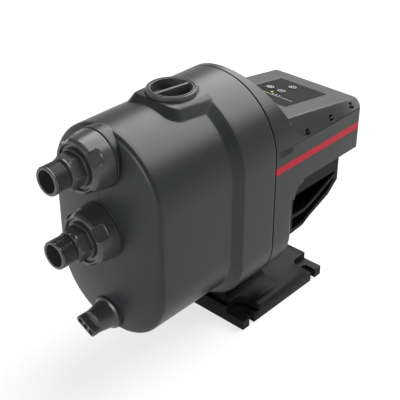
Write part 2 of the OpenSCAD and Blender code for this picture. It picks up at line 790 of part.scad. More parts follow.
// Fan cover: side outline in Y and Z carried across, hollow, with swept windows and rear slots
cover_front = ring_rear;
function cover_side(d) = [
  [cover_front, fan_cover_low_z + d], [cover_front + 27, fan_cover_low_z + 2 + d],
  [cover_front + 40, fan_cover_low_z + 9 + d],
  [fan_cover_y - 18 - d * 0.3, fan_cover_heel_z - 15 + d], [fan_cover_y - d, fan_cover_heel_z + d * 0.6],
  [fan_cover_y - d, box_z - d], [cover_front, box_z - d]
];
win_top = box_z - 22;
rib_z = fan_cover_low_z + 27;
rib_t = 5;

module fan_cover() color(black_col) difference() {
  side_slab(-fan_cover_half, fan_cover_half) polygon(cover_side(0));
  side_slab(-fan_cover_half + 3, fan_cover_half - 3) polygon(concat(
    [[cover_front - over, fan_cover_low_z + 3], [cover_front - over, box_z - 3]],
    [for (i = [len(cover_side(3)) - 2 : -1 : 1]) cover_side(3)[i]]));
  // opening for the motor and its air into the control box
  translate([-frame_r - 5, cover_front - over, box_z - 4])
    cube([2 * (frame_r + 5), fan_cover_y - cover_front - 6, 5]);
  // upper and lower windows, with the swept rib left between them
  for (m = [0, 1]) mirror([m, 0, 0]) side_slab(fan_cover_half - 4, fan_cover_half + over) {
    polygon([[cover_front + 4, rib_z], [cover_front + 30, rib_z], [cover_front + 54, rib_z + 9],
             [fan_cover_y - 7, win_top - 2], [fan_cover_y - 7, win_top], [cover_front + 4, win_top]]);
    polygon([[cover_front + 4, fan_cover_low_z + 6], [cover_front + 27, fan_cover_low_z + 8],
             [cover_front + 40, fan_cover_low_z + 15], [fan_cover_y - 20, fan_cover_heel_z - 8],
             [fan_cover_y - 8, fan_cover_heel_z + 3], [fan_cover_y - 8, win_top - 9],
             [cover_front + 55, rib_z + 9 - rib_t], [cover_front + 31, rib_z - rib_t],
             [cover_front + 4, rib_z - rib_t]]);
  }
  // rear grille
  for (i = [-7 : 7]) translate([i * 9 - 2.5, fan_cover_y - 4, fan_cover_heel_z + 8])
    cube([5, 6, box_z - fan_cover_heel_z - 16]);
}

// Base plate with corner pockets, open slots and a saddle under the casing
base_w = 2 * (shell_r - base_in);
saddle_r = 36;
saddle_x = base_w / 2 - 9;
saddle_y0 = casing_end - 42;
saddle_y1 = ring_rear - ring_round - 2;
module base_plate() color(black_col) difference() {
  union() {
    translate([-base_w / 2, -base_l / 2, 0]) cube([base_w, base_l, base_h]);
    // saddle, swept up to the casing on both sides
    difference() {
      slab(saddle_y0, saddle_y1) difference() {
        translate([-saddle_x, base_h - over]) square([2 * saddle_x, saddle_r + over]);
        for (s = [-1, 1]) translate([s * saddle_x, base_h + saddle_r]) circle(saddle_r);
      }
      slab(saddle_y0 - over, saddle_y1 + over) difference() {
        raised2d(-fit);
        translate([-foot_x - 6, 0]) square([2 * foot_x + 12, shell_floor]);
      }
    }
  }
  // corner pockets with a rounded inner corner
  for (sx = [-1, 1], sy = [-1, 1]) scale([1, 1, 1]) mirror([sx < 0 ? 1 : 0, 0, 0])
    mirror([0, sy < 0 ? 1 : 0, 0]) translate([0, 0, tab_h]) linear_extrude(base_h) {
      pr = 12;
      translate([pocket_x + pr, base_l / 2 - pocket_l]) square([base_w / 2, pocket_l + over]);
      translate([pocket_x, base_l / 2 - pocket_l + pr]) square([base_w / 2, pocket_l + over]);
      translate([pocket_x + pr, base_l / 2 - pocket_l + pr]) circle(pr);
    }
  // slots, open to both sides
  for (sx = [-1, 1], sy = [-1, 1]) translate([sx * base_w / 2, sy * slot_pitch / 2, -over])
    linear_extrude(base_h) {
      translate([sx > 0 ? -slot_l + slot_w / 2 : -over, -slot_w / 2])
        square([slot_l - slot_w / 2 + over, slot_w]);
      translate([-sx * (slot_l - slot_w / 2), 0]) circle(slot_w / 2);
    }
  // hollow underside between ribs
  for (sx = [-1, 1]) {
    translate([sx * 41 - 14, -slot_pitch / 2 + 18, -over]) cube([28, slot_pitch / 2 - 24, 14 + over]);
    translate([sx * 41 - 14, 6, -over]) cube([28, slot_pitch / 2 - 24, 14 + over]);
  }
  for (s = [-1, 1], y = foot_y) translate([s * foot_x, y, -over]) {
    cylinder(r = foot_screw_r + fit, h = 60);
    cylinder(r = 6, h = 14 + over);
  }
}

module base_screws() color(steel_col) for (s = [-1, 1], y = foot_y) translate([s * foot_x, y, 0]) {
  translate([0, 0, 9]) cylinder(r = 5, h = 5, $fn = 36);
  translate([0, 0, 12]) cylinder(r = foot_screw_r, h = shell_floor - 2, $fn = 36);
}

// Motor

module motor_frame() color(alu_col) difference() {
  union() {
    rod(0, shaft_z, flange_back, frame_end, frame_r);
    for (a = [0 : 15 : 345]) translate([0, 0, shaft_z]) rotate([0, a, 0])
      translate([-1, ring_rear + 2, frame_r - 2]) cube([2, frame_end - ring_rear - 4, 5]);
  }
  rod(0, shaft_z, flange_back - over, frame_end + over, frame_r - frame_wall);
}

module stator_core() color("#7d8186") difference() {
  rod(0, shaft_z, stator_y, stator_y + stator_l, frame_r - frame_wall);
  rod(0, shaft_z, stator_y - over, stator_y + stator_l + over, rotor_r + 0.5);
}

module stator_windings() color("#a8622c") for (y = [stator_y - 11, stator_y + stator_l]) lathe(shaft_z)
  polygon([[rotor_r + 4, y], [frame_r - 9, y], [frame_r - 7, y + 3], [frame_r - 7, y + 8],
           [frame_r - 9, y + 11], [rotor_r + 4, y + 11]]);

module rear_shield() color(alu_col) difference() {
  union() {
    rod(0, shaft_z, frame_end, frame_end + shield_t, frame_r);
    rod(0, shaft_z, rear_bearing_y - 1, frame_end + shield_t, hub_r);
  }
  rod(0, shaft_z, rear_bearing_y - 2, rear_bearing_y + bearing_w, bearing_r);
  rod(0, shaft_z, rear_bearing_y, frame_end + shield_t + over, shaft_r + 1);
}

module bearing(y) lathe(shaft_z) difference() {
  translate([shaft_r + run, y]) square([bearing_r - shaft_r - run, bearing_w]);
  for (s = [y - over, y + bearing_w - over])
    translate([shaft_r + 3, s]) square([bearing_r - shaft_r - 6, 2 * over]);
}
module front_bearing() color(steel_col) bearing(front_bearing_y);
module rear_bearing() color(steel_col) bearing(rear_bearing_y);

module shaft() color(steel_col) {
  rod(0, shaft_z, seat_y + 1, fan_y - 4, shaft_r);
  rod(0, shaft_z, shaft_front, seat_y + 2, shaft_end_r);
  rod(0, shaft_z, fan_y - 5, shaft_rear, shaft_end_r);
}

module rotor_core() color("#8b8e91") difference() {
  rod(0, shaft_z, stator_y, stator_y + stator_l, rotor_r);
  rod(0, shaft_z, stator_y - over, stator_y + stator_l + over, shaft_r);
}

module cooling_fan() color(black_col) difference() {
  union() {
    rod(0, shaft_z, fan_y, fan_y + 14, 12);
    rod(0, shaft_z, fan_y, fan_y + 2, fan_r - 4);
    for (a = [0 : 45 : 315]) translate([0, 0, shaft_z]) rotate([0, a, 0])
      translate([-1, fan_y, 8]) cube([2, 13, fan_r - 8]);
  }
  rod(0, shaft_z, fan_y - over, fan_y + 15, shaft_end_r);
}

// Pump stages, counted forward from the motor flange

// Closed impeller with curved vanes
module impeller(k) color("#c8b887") {
  y = flange_y - k * stage_len - hub_back;
  difference() {
    union() {
      rod(0, shaft_z, y - hub_len, y, 11);
      rod(0, shaft_z, y - 2.5, y - 0.5, impeller_r);
      for (a = [0 : 60 : 300]) translate([0, y - 2, shaft_z]) rotate([0, a, 0]) rotate([90, 0, 0])
        linear_extrude(7.5) impeller_vane();
      lathe(shaft_z) polygon([[eye_r, y - 13], [eye_r + 2, y - 13], [eye_r + 2, y - 10.5],
        [impeller_r, y - 10.5], [impeller_r, y - 8.5], [eye_r + 1, y - 8.5], [eye_r, y - 9.5]]);
    }
    rod(0, shaft_z, y - hub_len - over, y + over, shaft_end_r);
  }
}

// One backward curved vane, between the hub and the rim
vane_r = 30;
module impeller_vane() intersection() {
  translate([10, -vane_r + 6]) difference() {
    circle(vane_r);
    circle(vane_r - 2);
  }
  difference() {
    circle(impeller_r - 0.5);
    circle(10);
  }
  translate([8, -10]) square([impeller_r, impeller_r]);
}
module impeller_1() impeller(2);
module impeller_2() impeller(1);
module impeller_3() impeller(0);

module impeller_spacers() color(steel_col) for (k = [0, 1]) difference() {
  y1 = flange_y - k * stage_len - hub_back - hub_len;
  y0 = flange_y - (k + 1) * stage_len - hub_back;
  rod(0, shaft_z, y0, y1, spacer_r);
  rod(0, shaft_z, y0 - over, y1 + over, shaft_end_r);
}

module impeller_nut() color(steel_col) difference() {
  y = flange_y - 2 * stage_len - hub_back - hub_len;
  rod(0, shaft_z, y - nut_len, y, 10.5, 6);
  rod(0, shaft_z, y - nut_len - over, y + over, shaft_end_r);
}

module seal_rotor() color("#3b3b3d") difference() {
  union() {
    rod(0, shaft_z, flange_y - hub_back, seat_y - 5 - fit, 10);
    rod(0, shaft_z, seat_y - 11, seat_y - 5 - fit, 13);
  }
  rod(0, shaft_z, flange_y - hub_back - over, seat_y, shaft_end_r);
}

module seal_seat() color("#d9d4c8") difference() {
  rod(0, shaft_z, seat_y - 5, seat_y, seal_r - fit);
  rod(0, shaft_z, seat_y - 6, seat_y + over, shaft_r + 1);
}

// Stage chamber: cup with a plate towards the motor and return vanes on it
module stage_chamber(k) color("#b9b4a4") {
  y = flange_y - k * stage_len;
  difference() {
    rod(0, shaft_z, y - stage_len, y, chamber_r);
    rod(0, shaft_z, y - stage_len - over, y - plate_t, chamber_r - chamber_wall);
    rod(0, shaft_z, y - stage_len - over, y + over, plate_hole);
    for (a = [22.5 : 45 : 337.5]) translate([0, 0, shaft_z]) rotate([0, a, 0])
      rod(chamber_r - chamber_wall - 5, 0, y - plate_t - over, y + over, 3.5, 24);
  }
  for (a = [0 : 45 : 315]) translate([0, 0, shaft_z]) rotate([0, a, 0])
    translate([-1, y - 7.5, 17]) cube([2, 5, chamber_r - chamber_wall - 16]);
}
module stage_chamber_1() stage_chamber(2);
module stage_chamber_2() stage_chamber(1);
module stage_chamber_3() stage_chamber(0);

// Suction manifold between the casing's suction tube and the first stage
module suction_manifold() color("#b9b4a4") difference() {
  union() {
    rod(0, shaft_z, stack_y - 5, stack_y, chamber_r);
    rod(0, shaft_z, manifold_y, stack_y - 4, manifold_r);
  }
  rod(0, shaft_z, manifold_y + manifold_wall, stack_y - 5, manifold_r - manifold_wall);
  rod(0, shaft_z, stack_y - 6, stack_y + over, eye_r + 3);
  rod(0, lower_z, manifold_y - over, manifold_y + manifold_wall + over, tube_r + fit);
}

// Check valve in the suction tube
module valve_seat() color("#d0d0cc") difference() {
  rod(0, lower_z, face_y + wall, face_y + wall + seat_t, tube_in - fit);
  rod(0, lower_z, face_y + wall - over, face_y + wall + seat_t + over, way_r + 0.5);
}

module valve_cone() color("#d0d0cc") {
  lathe(lower_z) polygon([[0, cone_y], [tube_in - 3, cone_y], [tube_in - 3, cone_y + 2],
                          [8, cone_y + cone_t], [0, cone_y + cone_t]]);
  rod(0, lower_z, cone_y + cone_t - over, guide_y + guide_t + 2, stem_r);
}

module valve_guide() color("#d0d0cc") difference() {
  union() {
    difference() {
      rod(0, lower_z, guide_y, guide_y + guide_t, tube_in);
      rod(0, lower_z, guide_y - over, guide_y + guide_t + over, tube_in - 3);
    }
    rod(0, lower_z, guide_y, guide_y + guide_t, stem_r + 5);
    for (a = [0 : 120 : 240]) translate([0, 0, lower_z]) rotate([0, a, 0])
      translate([-1.5, guide_y, stem_r + 3]) cube([3, guide_t, tube_in - stem_r - 4]);
  }
  rod(0, lower_z, guide_y - over, guide_y + guide_t + over, stem_r + fit);
}

// Closing spring on the valve's stem
spring_y = cone_y + cone_t + fit;
module valve_spring() color(steel_col) translate([0, guide_y - fit, lower_z]) rotate([90, 0, 0])
  linear_extrude(guide_y - fit - spring_y, twist = -360 * 5, slices = 80, $fn = 8)
    translate([stem_r + 2.6, 0]) circle(1.1, $fn = 8);

// Pressure tank with a rubber bladder
module tank_shell() color("#5a6470") lathe(tank_z) difference() {
  union() {
    translate([0, tank_back - tank_len + tank_r]) square([tank_r, tank_len - tank_r - 8]);
    intersection() {
      translate([0, tank_back - tank_len + tank_r]) circle(tank_r);
      translate([0, tank_back - tank_len]) square([tank_r, tank_r]);
    }
    translate([0, tank_back - 9]) square([tank_r - 8, 9]);
    intersection() {
      translate([tank_r - 8, tank_back - 8]) circle(8);
      translate([tank_r - 9, tank_back - 9]) square([9, 9]);
    }
    translate([0, tank_back - over]) square([tank_stub_r + 5, tank_neck + over]);
    translate([0, flange_y - over]) square([tank_stub_r, 6]);
  }
  translate([0, tank_back - tank_len + tank_r]) square([tank_r - tank_wall, tank_len - tank_r - 8]);
  intersection() {
    translate([0, tank_back - tank_len + tank_r]) circle(tank_r - tank_wall);
    translate([0, tank_back - tank_len]) square([tank_r, tank_r + over]);
  }
  translate([0, tank_back - 9]) square([tank_r - 10, 7]);
  translate([0, tank_back - 9]) square([3, tank_neck + 20]);
}

module tank_bladder() color(rubber_col) lathe(tank_z) {
  y0 = tank_back - tank_len + tank_r;
  difference() {
    union() {
      translate([0, y0]) square([tank_r - 7, tank_len - tank_r - 10]);
      intersection() {
        translate([0, y0]) circle(tank_r - 7);
        translate([0, y0 - tank_r]) square([tank_r, tank_r + over]);
      }
      translate([0, tank_back - 12]) square([tank_r - 11, 10]);
    }
    translate([0, y0]) square([tank_r - 9, tank_len - tank_r - 12]);
    intersection() {
      translate([0, y0]) circle(tank_r - 9);
      translate([0, y0 - tank_r]) square([tank_r, tank_r + over]);
    }
    translate([0, tank_back - 20]) square([3, 30]);
  }
}

// Unions

// Tailpiece: flange behind the nut's lip, neck, hexagon, pipe thread
module tailpiece(z) color("#333435") difference() {
  union() {
    rod(0, z, tail_y - tail_flange, tail_y, tail_flange_r);
    rod(0, z, neck_y, tail_y - over, neck_r);
    rod(0, z, hex_y, neck_y + over, hex_af / 2 / cos(30), 6);
    rod(0, z, thread_y, hex_y + over, collar_r);
    lathe(z) polygon([[0, pipe_y], [pipe_r - 1.5, pipe_y], [pipe_r, pipe_y + 1.5],
                      [pipe_r, thread_y + over], [0, thread_y + over]]);
  }
  rod(0, z, pipe_y - over, tail_y + over, way_r);
}
module upper_tailpiece() tailpiece(port_z);
module lower_tailpiece() tailpiece(lower_z);

// Union nut: cone with a lip, four grip flats and a bevelled front
module union_nut(z) color("#3a3b3c") difference() {
  lathe(z) polygon([[union_r + fit, boss_y - 0.5], [nut_r, boss_y - 0.5], [nut_front_r, nut_y + 3],
                    [nut_front_r - 2.5, nut_y], [lip_r, nut_y], [lip_r, lip_y], [union_r + fit, lip_y]]);
  for (a = [0 : 90 : 270]) translate([0, 0, z]) rotate([0, a - 36, 0])
    translate([nut_flat, nut_y - over, -20]) cube([20, nut_flat_len + over, 40]);
}
module upper_nut() union_nut(port_z);
module lower_nut() union_nut(lower_z);

module gasket(z) color(rubber_col) difference() {
  rod(0, z, tail_y, union_y, union_r - 1);
  rod(0, z, tail_y - over, union_y + over, way_r + 1.5);
}
module upper_gasket() gasket(port_z);
module lower_gasket() gasket(lower_z);

// Priming plug: ring, cup with a grip bar across it, thread and O-ring groove
bar_turn = -9.5;
plug_groove_z = seat_z - priming_stub + 3;
module priming_plug() color("#2b2c2d") translate([0, priming_y, 0]) difference() {
  union() {
    difference() {
      union() {
        rotate_extrude() polygon([[0, seat_z], [priming_r, seat_z], [priming_r, seat_z + priming_h - 1.5],
          [priming_r - 1.5, seat_z + priming_h], [0, seat_z + priming_h]]);
        translate([0, 0, seat_z - priming_stub]) cylinder(r = priming_thread_r, h = priming_stub + over);
      }
      translate([0, 0, seat_z + priming_h - cup_depth]) cylinder(r = cup_r, h = cup_depth + over);
      // groove between the two lips of the ring
      rotate_extrude() translate([cup_r + 2, seat_z + priming_h - 1]) square([1.4, 2]);
    }
    rotate([0, 0, bar_turn]) intersection() {
      translate([-3, -priming_r, seat_z + priming_h - cup_depth - over])
        cube([6, 2 * priming_r, cup_depth + over - 1]);
      translate([0, 0, seat_z - priming_stub]) cylinder(r = cup_r + 1, h = 60);
    }
  }
  rotate_extrude() translate([priming_thread_r - 2.7, plug_groove_z]) square([4, 3]);
}

module priming_seal() color(rubber_col) translate([0, priming_y, plug_groove_z + 1.5])
  rotate_extrude() translate([priming_thread_r - 1.2, 0]) circle(1.2, $fn = 24);

// Drain plug: flange, tapered body, grip bar with a cored end, thread and O-ring groove
drain_turn = 25;
drain_groove_y = drain_y + 2;
module drain_plug() color("#3a3b3c") difference() {
  union() {
    lathe(drain_z) polygon([[0, drain_y], [drain_boss_r - 1, drain_y], [drain_boss_r - 1, drain_y - 3],
      [drain_boss_r - 3.5, drain_y - 5], [14, drain_end + 10], [9, drain_end + 8], [0, drain_end + 8]]);
    rod(0, drain_z, drain_y - over, drain_y + drain_stub, drain_thread_r);
    translate([0, 0, drain_z]) rotate([0, drain_turn, 0]) {
      translate([0, drain_end, 0]) rotate([-90, 0, 0]) linear_extrude(drain_len - 6) {
        square([drain_bar - 10, 10], center = true);
        for (s = [-1, 1]) translate([s * (drain_bar / 2 - 5), 0]) circle(5);
      }
    }
  }
  translate([0, 0, drain_z]) rotate([0, drain_turn, 0])
    for (s = [-1, 0, 1]) rod(s * (drain_bar / 2 - 6), 0, drain_end - over, drain_end + 10, 3.4, 36);
  lathe(drain_z) translate([drain_thread_r - 2.4, drain_groove_y]) square([4, 2.8]);
}

module drain_seal() color(rubber_col) lathe(drain_z)
  translate([drain_thread_r - 1, drain_groove_y + 1.4]) circle(1, $fn = 24);

pump_casing();
casing_seal();
casing_screws();
motor_flange();
motor_cover();
trim_stripe();
control_lid();
lid_screws();
display_panel();
button_power();
button_mode();
button_reset();
status_light();
control_board();
board_screws();
run_capacitor();
cable_gland();
gland_locknut();
fan_cover();
base_plate();
base_screws();
motor_frame();
stator_core();
stator_windings();
rear_shield();
front_bearing();
rear_bearing();
shaft();
rotor_core();
cooling_fan();
impeller_1();
impeller_2();
impeller_3();
impeller_spacers();
impeller_nut();
seal_rotor();
seal_seat();
stage_chamber_1();
stage_chamber_2();
stage_chamber_3();
suction_manifold();
valve_seat();
valve_cone();
valve_spring();
valve_guide();
tank_shell();
tank_bladder();
pressure_sensor();
upper_tailpiece();
upper_nut();
upper_gasket();
lower_tailpiece();
lower_nut();
lower_gasket();
priming_plug();
priming_seal();
drain_plug();
drain_seal();
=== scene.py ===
"""Looks of the booster pump set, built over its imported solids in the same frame, in metres."""
import json

import bmesh
import bpy
import numpy as np
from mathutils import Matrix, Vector

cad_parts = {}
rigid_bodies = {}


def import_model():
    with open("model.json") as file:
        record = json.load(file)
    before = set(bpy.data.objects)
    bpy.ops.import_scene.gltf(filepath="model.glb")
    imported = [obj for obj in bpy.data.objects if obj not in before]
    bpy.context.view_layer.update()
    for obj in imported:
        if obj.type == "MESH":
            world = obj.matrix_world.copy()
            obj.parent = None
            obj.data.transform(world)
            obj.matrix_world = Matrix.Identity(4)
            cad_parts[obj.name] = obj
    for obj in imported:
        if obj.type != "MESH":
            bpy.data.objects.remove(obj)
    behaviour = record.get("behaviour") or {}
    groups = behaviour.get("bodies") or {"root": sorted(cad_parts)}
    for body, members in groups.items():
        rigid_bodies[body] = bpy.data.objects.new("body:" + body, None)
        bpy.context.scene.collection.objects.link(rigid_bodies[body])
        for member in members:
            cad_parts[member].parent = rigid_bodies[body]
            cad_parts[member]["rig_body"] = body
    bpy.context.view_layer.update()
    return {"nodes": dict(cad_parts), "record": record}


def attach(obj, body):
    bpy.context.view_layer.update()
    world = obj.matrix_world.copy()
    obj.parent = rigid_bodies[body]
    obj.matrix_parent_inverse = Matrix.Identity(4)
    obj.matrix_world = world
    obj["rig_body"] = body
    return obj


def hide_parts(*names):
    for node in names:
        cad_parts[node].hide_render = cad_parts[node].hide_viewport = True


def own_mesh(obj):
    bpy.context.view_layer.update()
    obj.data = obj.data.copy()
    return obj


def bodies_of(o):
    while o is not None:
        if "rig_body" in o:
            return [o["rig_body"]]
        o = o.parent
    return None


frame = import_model()
MM = 0.001


# Shader groups


def new_group(name, inputs, outputs):
    """Empty shader node group with named sockets: (name, kind, default) in, (name, kind) out."""
    g = bpy.data.node_groups.new(name, "ShaderNodeTree")
    for n, kind, default in inputs:
        s = g.interface.new_socket(n, in_out="INPUT", socket_type=kind)
        s.default_value = default
    for n, kind in outputs:
        g.interface.new_socket(n, in_out="OUTPUT", socket_type=kind)
    return g, g.nodes.new("NodeGroupInput"), g.nodes.new("NodeGroupOutput")


def link(tree, a, b):
    """Link from socket a to socket b of a node tree."""
    tree.links.new(a, b)


def make_moulded_grain():
    """Spark-eroded texture: a fine noise as height, a broad one as a shift of roughness and tone."""
    real = "NodeSocketFloat"
    g, i, o = new_group("moulded_grain", [("Size", real, 900.0), ("Mottle", real, 0.05)],
                        [("Height", real), ("Rough shift", real), ("Tone", real)])
    co = g.nodes.new("ShaderNodeTexCoord")
    fine = g.nodes.new("ShaderNodeTexNoise")
    fine.inputs["Detail"].default_value = 2.0
    link(g, co.outputs["Object"], fine.inputs["Vector"])
    link(g, i.outputs["Size"], fine.inputs["Scale"])
    broad = g.nodes.new("ShaderNodeTexNoise")
    broad.inputs["Scale"].default_value = 14.0
    broad.inputs["Detail"].default_value = 3.0
    link(g, co.outputs["Object"], broad.inputs["Vector"])
    link(g, fine.outputs["Fac"], o.inputs["Height"])
    centred = g.nodes.new("ShaderNodeMath")
    centred.operation = "SUBTRACT"
    centred.inputs[1].default_value = 0.5
    link(g, broad.outputs["Fac"], centred.inputs[0])
    shift = g.nodes.new("ShaderNodeMath")
    shift.operation = "MULTIPLY"
    link(g, centred.outputs[0], shift.inputs[0])
    link(g, i.outputs["Mottle"], shift.inputs[1])
    link(g, shift.outputs[0], o.inputs["Rough shift"])
    tone = g.nodes.new("ShaderNodeMath")
    tone.operation = "MULTIPLY_ADD"
    tone.inputs[1].default_value = 1.6
    tone.inputs[2].default_value = 1.0
    link(g, shift.outputs[0], tone.inputs[0])
    link(g, tone.outputs[0], o.inputs["Tone"])
    return g


moulded_grain = make_moulded_grain()


def plastic(name, colour, rough, size=900.0, bump=0.02, mottle=0.06, gloss=0.25):
    """Moulded plastic: even colour, slight mottle, spark-eroded grain in the bump and the roughness."""
    m = bpy.data.materials.new(name)
    m.use_nodes = True
    t = m.node_tree
    b = t.nodes["Principled BSDF"]
    gr = t.nodes.new("ShaderNodeGroup")
    gr.node_tree = moulded_grain
    gr.inputs["Size"].default_value = size
    gr.inputs["Mottle"].default_value = mottle
    mix = t.nodes.new("ShaderNodeMix")
    mix.data_type = "RGBA"
    mix.blend_type = "MULTIPLY"
    mix.inputs["Factor"].default_value = 1.0
    mix.inputs["A"].default_value = (*colour, 1)
    link(t, gr.outputs["Tone"], mix.inputs["B"])
    link(t, mix.outputs["Result"], b.inputs["Base Color"])
    add = t.nodes.new("ShaderNodeMath")
    add.operation = "ADD"
    add.inputs[1].default_value = rough
    link(t, gr.outputs["Rough shift"], add.inputs[0])
    link(t, add.outputs[0], b.inputs["Roughness"])
    bp = t.nodes.new("ShaderNodeBump")
    bp.inputs["Strength"].default_value = bump
    bp.inputs["Distance"].default_value = 0.0003
    link(t, gr.outputs["Height"], bp.inputs["Height"])
    link(t, bp.outputs["Normal"], b.inputs["Normal"])
    b.inputs["Specular IOR Level"].default_value = gloss
    return m


def metal(name, colour, rough):
    """Bare metal with a fine uneven finish."""
    m = plastic(name, colour, rough, size=300.0, bump=0.03, mottle=0.15)
    m.node_tree.nodes["Principled BSDF"].inputs["Metallic"].default_value = 1.0
    return m


def srgb(v):
    """Linear value of a display grey or colour of 0 to 255."""
    v = np.asarray(v, float) / 255.0
    return tuple(np.where(v <= 0.04045, v / 12.92, ((v + 0.055) / 1.055) ** 2.4))


MAT = {
    "shell": plastic("shell_dark_grey", srgb((33, 34, 35)), 0.38, gloss=0.25),
    "black": plastic("base_black", srgb((10, 10, 11)), 0.46, gloss=0.08),
    "union": plastic("union_dark_grey", srgb((54, 54, 55)), 0.3, gloss=0.45),
    "plug": plastic("plug_dark_grey", srgb((62, 62, 63)), 0.36),
    "stripe": plastic("stripe_red", srgb((160, 25, 42)), 0.4, gloss=0.08),
    "rubber": plastic("seal_rubber", srgb((26, 26, 26)), 0.6),
    "steel": metal("plain_steel", (0.5, 0.51, 0.52), 0.32),
    "cast_aluminium": metal("cast_aluminium", (0.42, 0.43, 0.44), 0.5),
    "laminations": metal("lamination_steel", (0.25, 0.26, 0.27), 0.5),
    "copper": metal("winding_copper", (0.55, 0.2, 0.08), 0.35),
    "display": plastic("display_film", srgb((22, 22, 24)), 0.5, 2000.0, 0.005, gloss=0.04),
    "buttons": plastic("button_film", srgb((26, 26, 28)), 0.5, 2000.0, 0.005, gloss=0.04),
    "light": plastic("light_lens", srgb((225, 205, 40)), 0.2),
    "board": plastic("board_green", (0.02, 0.12, 0.05), 0.35),
    "capacitor": plastic("capacitor_can", (0.6, 0.58, 0.53), 0.4),
    "hydraulics": plastic("stage_composite", (0.5, 0.43, 0.28), 0.5),
    "seal_ceramic": plastic("seal_carbon", (0.12, 0.12, 0.12), 0.3),
    "screw_black": metal("blackened_screw", (0.012, 0.012, 0.012), 0.5),
    # Painted shade: a darker finish for the face's moulded line and the lid's screw wells, standing in for the
    # shade in these hollows
    "groove": plastic("moulded_groove", srgb((24, 24, 25)), 0.6, gloss=0.1),
    "print": plastic("panel_print", srgb((215, 216, 216)), 0.5, 2000.0, 0.003, 0.02),
    "tank": plastic("tank_paint", (0.1, 0.12, 0.15), 0.4),
}
for part in frame["record"]["subparts"]:
    o = frame["nodes"][part["node"]]
    finish = "screw_black" if part["node"] == "lid_screws" else part["material_slot"]
    o.data.materials.clear()
    o.data.materials.append(MAT[finish])


# Grids, outlines and pieces


def smooth(t):
    """Rise from 0 to 1 with level ends: 3t squared less 2t cubed, held outside 0 to 1."""
    t = np.clip(t, 0.0, 1.0)
    return t * t * (3.0 - 2.0 * t)


def soft_ramp(t, k):
    """Ramp that is 0 before 0 and t after it, its corner a hyperbola of half width k."""
    return 0.5 * (t + np.sqrt(t * t + k * k))


def grid_faces(rows, cols, wrap_rows, wrap_cols):
    """Quads between neighbouring points of a grid, closed over its edges where asked."""
    r, c = np.meshgrid(np.arange(rows - (not wrap_rows)), np.arange(cols - (not wrap_cols)), indexing="ij")
    r1, c1 = (r + 1) % rows, (c + 1) % cols
    return np.stack([r * cols + c, r * cols + c1, r1 * cols + c1, r1 * cols + c], -1).reshape(-1, 4)


def oriented(p, f):
    """Faces turned so that the signed volume under them, about the middle of the points, is positive."""
    q = p - p.mean(0)
    a, b, c, d = (q[f[:, k]] for k in range(4))
    vol = (a * np.cross(b, c)).sum() + (a * np.cross(c, d)).sum()
    return f if vol >= 0 else f[:, ::-1]


def body_of(node):
    """Body that the solid of a node rides on."""
    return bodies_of(frame["nodes"][node])[0]


def finish_piece(me, name, slot, body, replaced, crease, finish=None):
    """Object of a mesh: smooth faces with edges above crease kept sharp, its finish, body and replaced nodes."""
    me.shade_smooth()
    me.set_sharp_from_angle(angle=np.radians(crease))
    me.materials.append(MAT[finish or slot])
    o = bpy.data.objects.new(name, me)
    bpy.context.collection.objects.link(o)
    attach(o, body)
    if replaced:
        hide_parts(*replaced)
    return o


def piece(name, shells, slot, body, replaced=(), crease=32.0, finish=None):
    """Object from grids in millimetres, each (points, wrap rows, wrap columns[, hole cutter]), doubles merged."""
    pts, faces, n = [], [], 0
    for shell in shells:
        g, p = shell[0], shell[0].reshape(-1, 3)
        f = oriented(p, grid_faces(g.shape[0], g.shape[1], shell[1], shell[2]))
        if len(shell) > 3:
            p, f = shell[3](p, f)
        pts.append(p)
        faces.append(f + n)
        n += len(p)
    me = bpy.data.meshes.new(name)
    me.from_pydata((np.concatenate(pts) * MM).tolist(), [], np.concatenate(faces).tolist())
    bm = bmesh.new()
    bm.from_mesh(me)
    bmesh.ops.remove_doubles(bm, verts=bm.verts, dist=3e-6)
    bmesh.ops.dissolve_degenerate(bm, edges=bm.edges, dist=1e-7)
    loose = [v for v in bm.verts if not v.link_faces]
    bmesh.ops.delete(bm, geom=loose, context="VERTS")
    bm.to_mesh(me)
    bm.free()
    return finish_piece(me, name, slot, body, replaced, crease, finish)


def merged(node, slot, crease=35.0):
    """Merged copy of a solid's mesh that stands for the solid."""
    me = frame["nodes"][node].data.copy()
    me.name = node + "_skin"
    me.materials.clear()
    bm = bmesh.new()
    bm.from_mesh(me)
    bmesh.ops.remove_doubles(bm, verts=bm.verts, dist=1e-6)
    bm.to_mesh(me)
    bm.free()
    return finish_piece(me, node + "_skin", slot, body_of(node), (node,), crease)


def bevelled(node, width, slot, crease=35.0):
    """Merged copy of a solid with its sharp edges rounded, so that they catch the light."""
    o = merged(node, slot, crease)
    b = o.modifiers.new("edge_round", "BEVEL")
    b.width = width * MM
    b.segments = 2
    b.limit_method = "ANGLE"
    b.angle_limit = np.radians(crease)
    b.harden_normals = True
    return o


def capped(g):
    """Open run of rings closed at both ends to the middle of its end rings."""
    first, last = (np.repeat(g[k].mean(1, keepdims=True), g.shape[1], 1) for k in (slice(0, 1), slice(-1, None)))
    return np.concatenate([first, g, last])


def eased(corners, steps=5):
    """Closed outline of corners (a, b, t), each a parabola between the points t away along its two sides."""
    c = np.asarray(corners, float)
    p, t = c[:, :2], c[:, 2:3]
    back, on = np.roll(p, 1, 0) - p, np.roll(p, -1, 0) - p
    a = p + back / np.linalg.norm(back, axis=1, keepdims=True) * t
    b = p + on / np.linalg.norm(on, axis=1, keepdims=True) * t
    s = np.linspace(0, 1, steps)[None, :, None]
    return ((1 - s) ** 2 * a[:, None] + 2 * s * (1 - s) * p[:, None] + s ** 2 * b[:, None]).reshape(-1, 2)


def dense(profile, step):
    """Closed outline with points added along it, no further apart than step."""
    q = np.vstack([profile, profile[:1]])
    run = np.r_[0, np.cumsum(np.linalg.norm(np.diff(q, axis=0), axis=1))]
    at = np.unique(np.r_[run, np.arange(0, run[-1], step)].round(5))[:-1]
    return np.stack([np.interp(at, run, q[:, k]) for k in (0, 1)], 1)


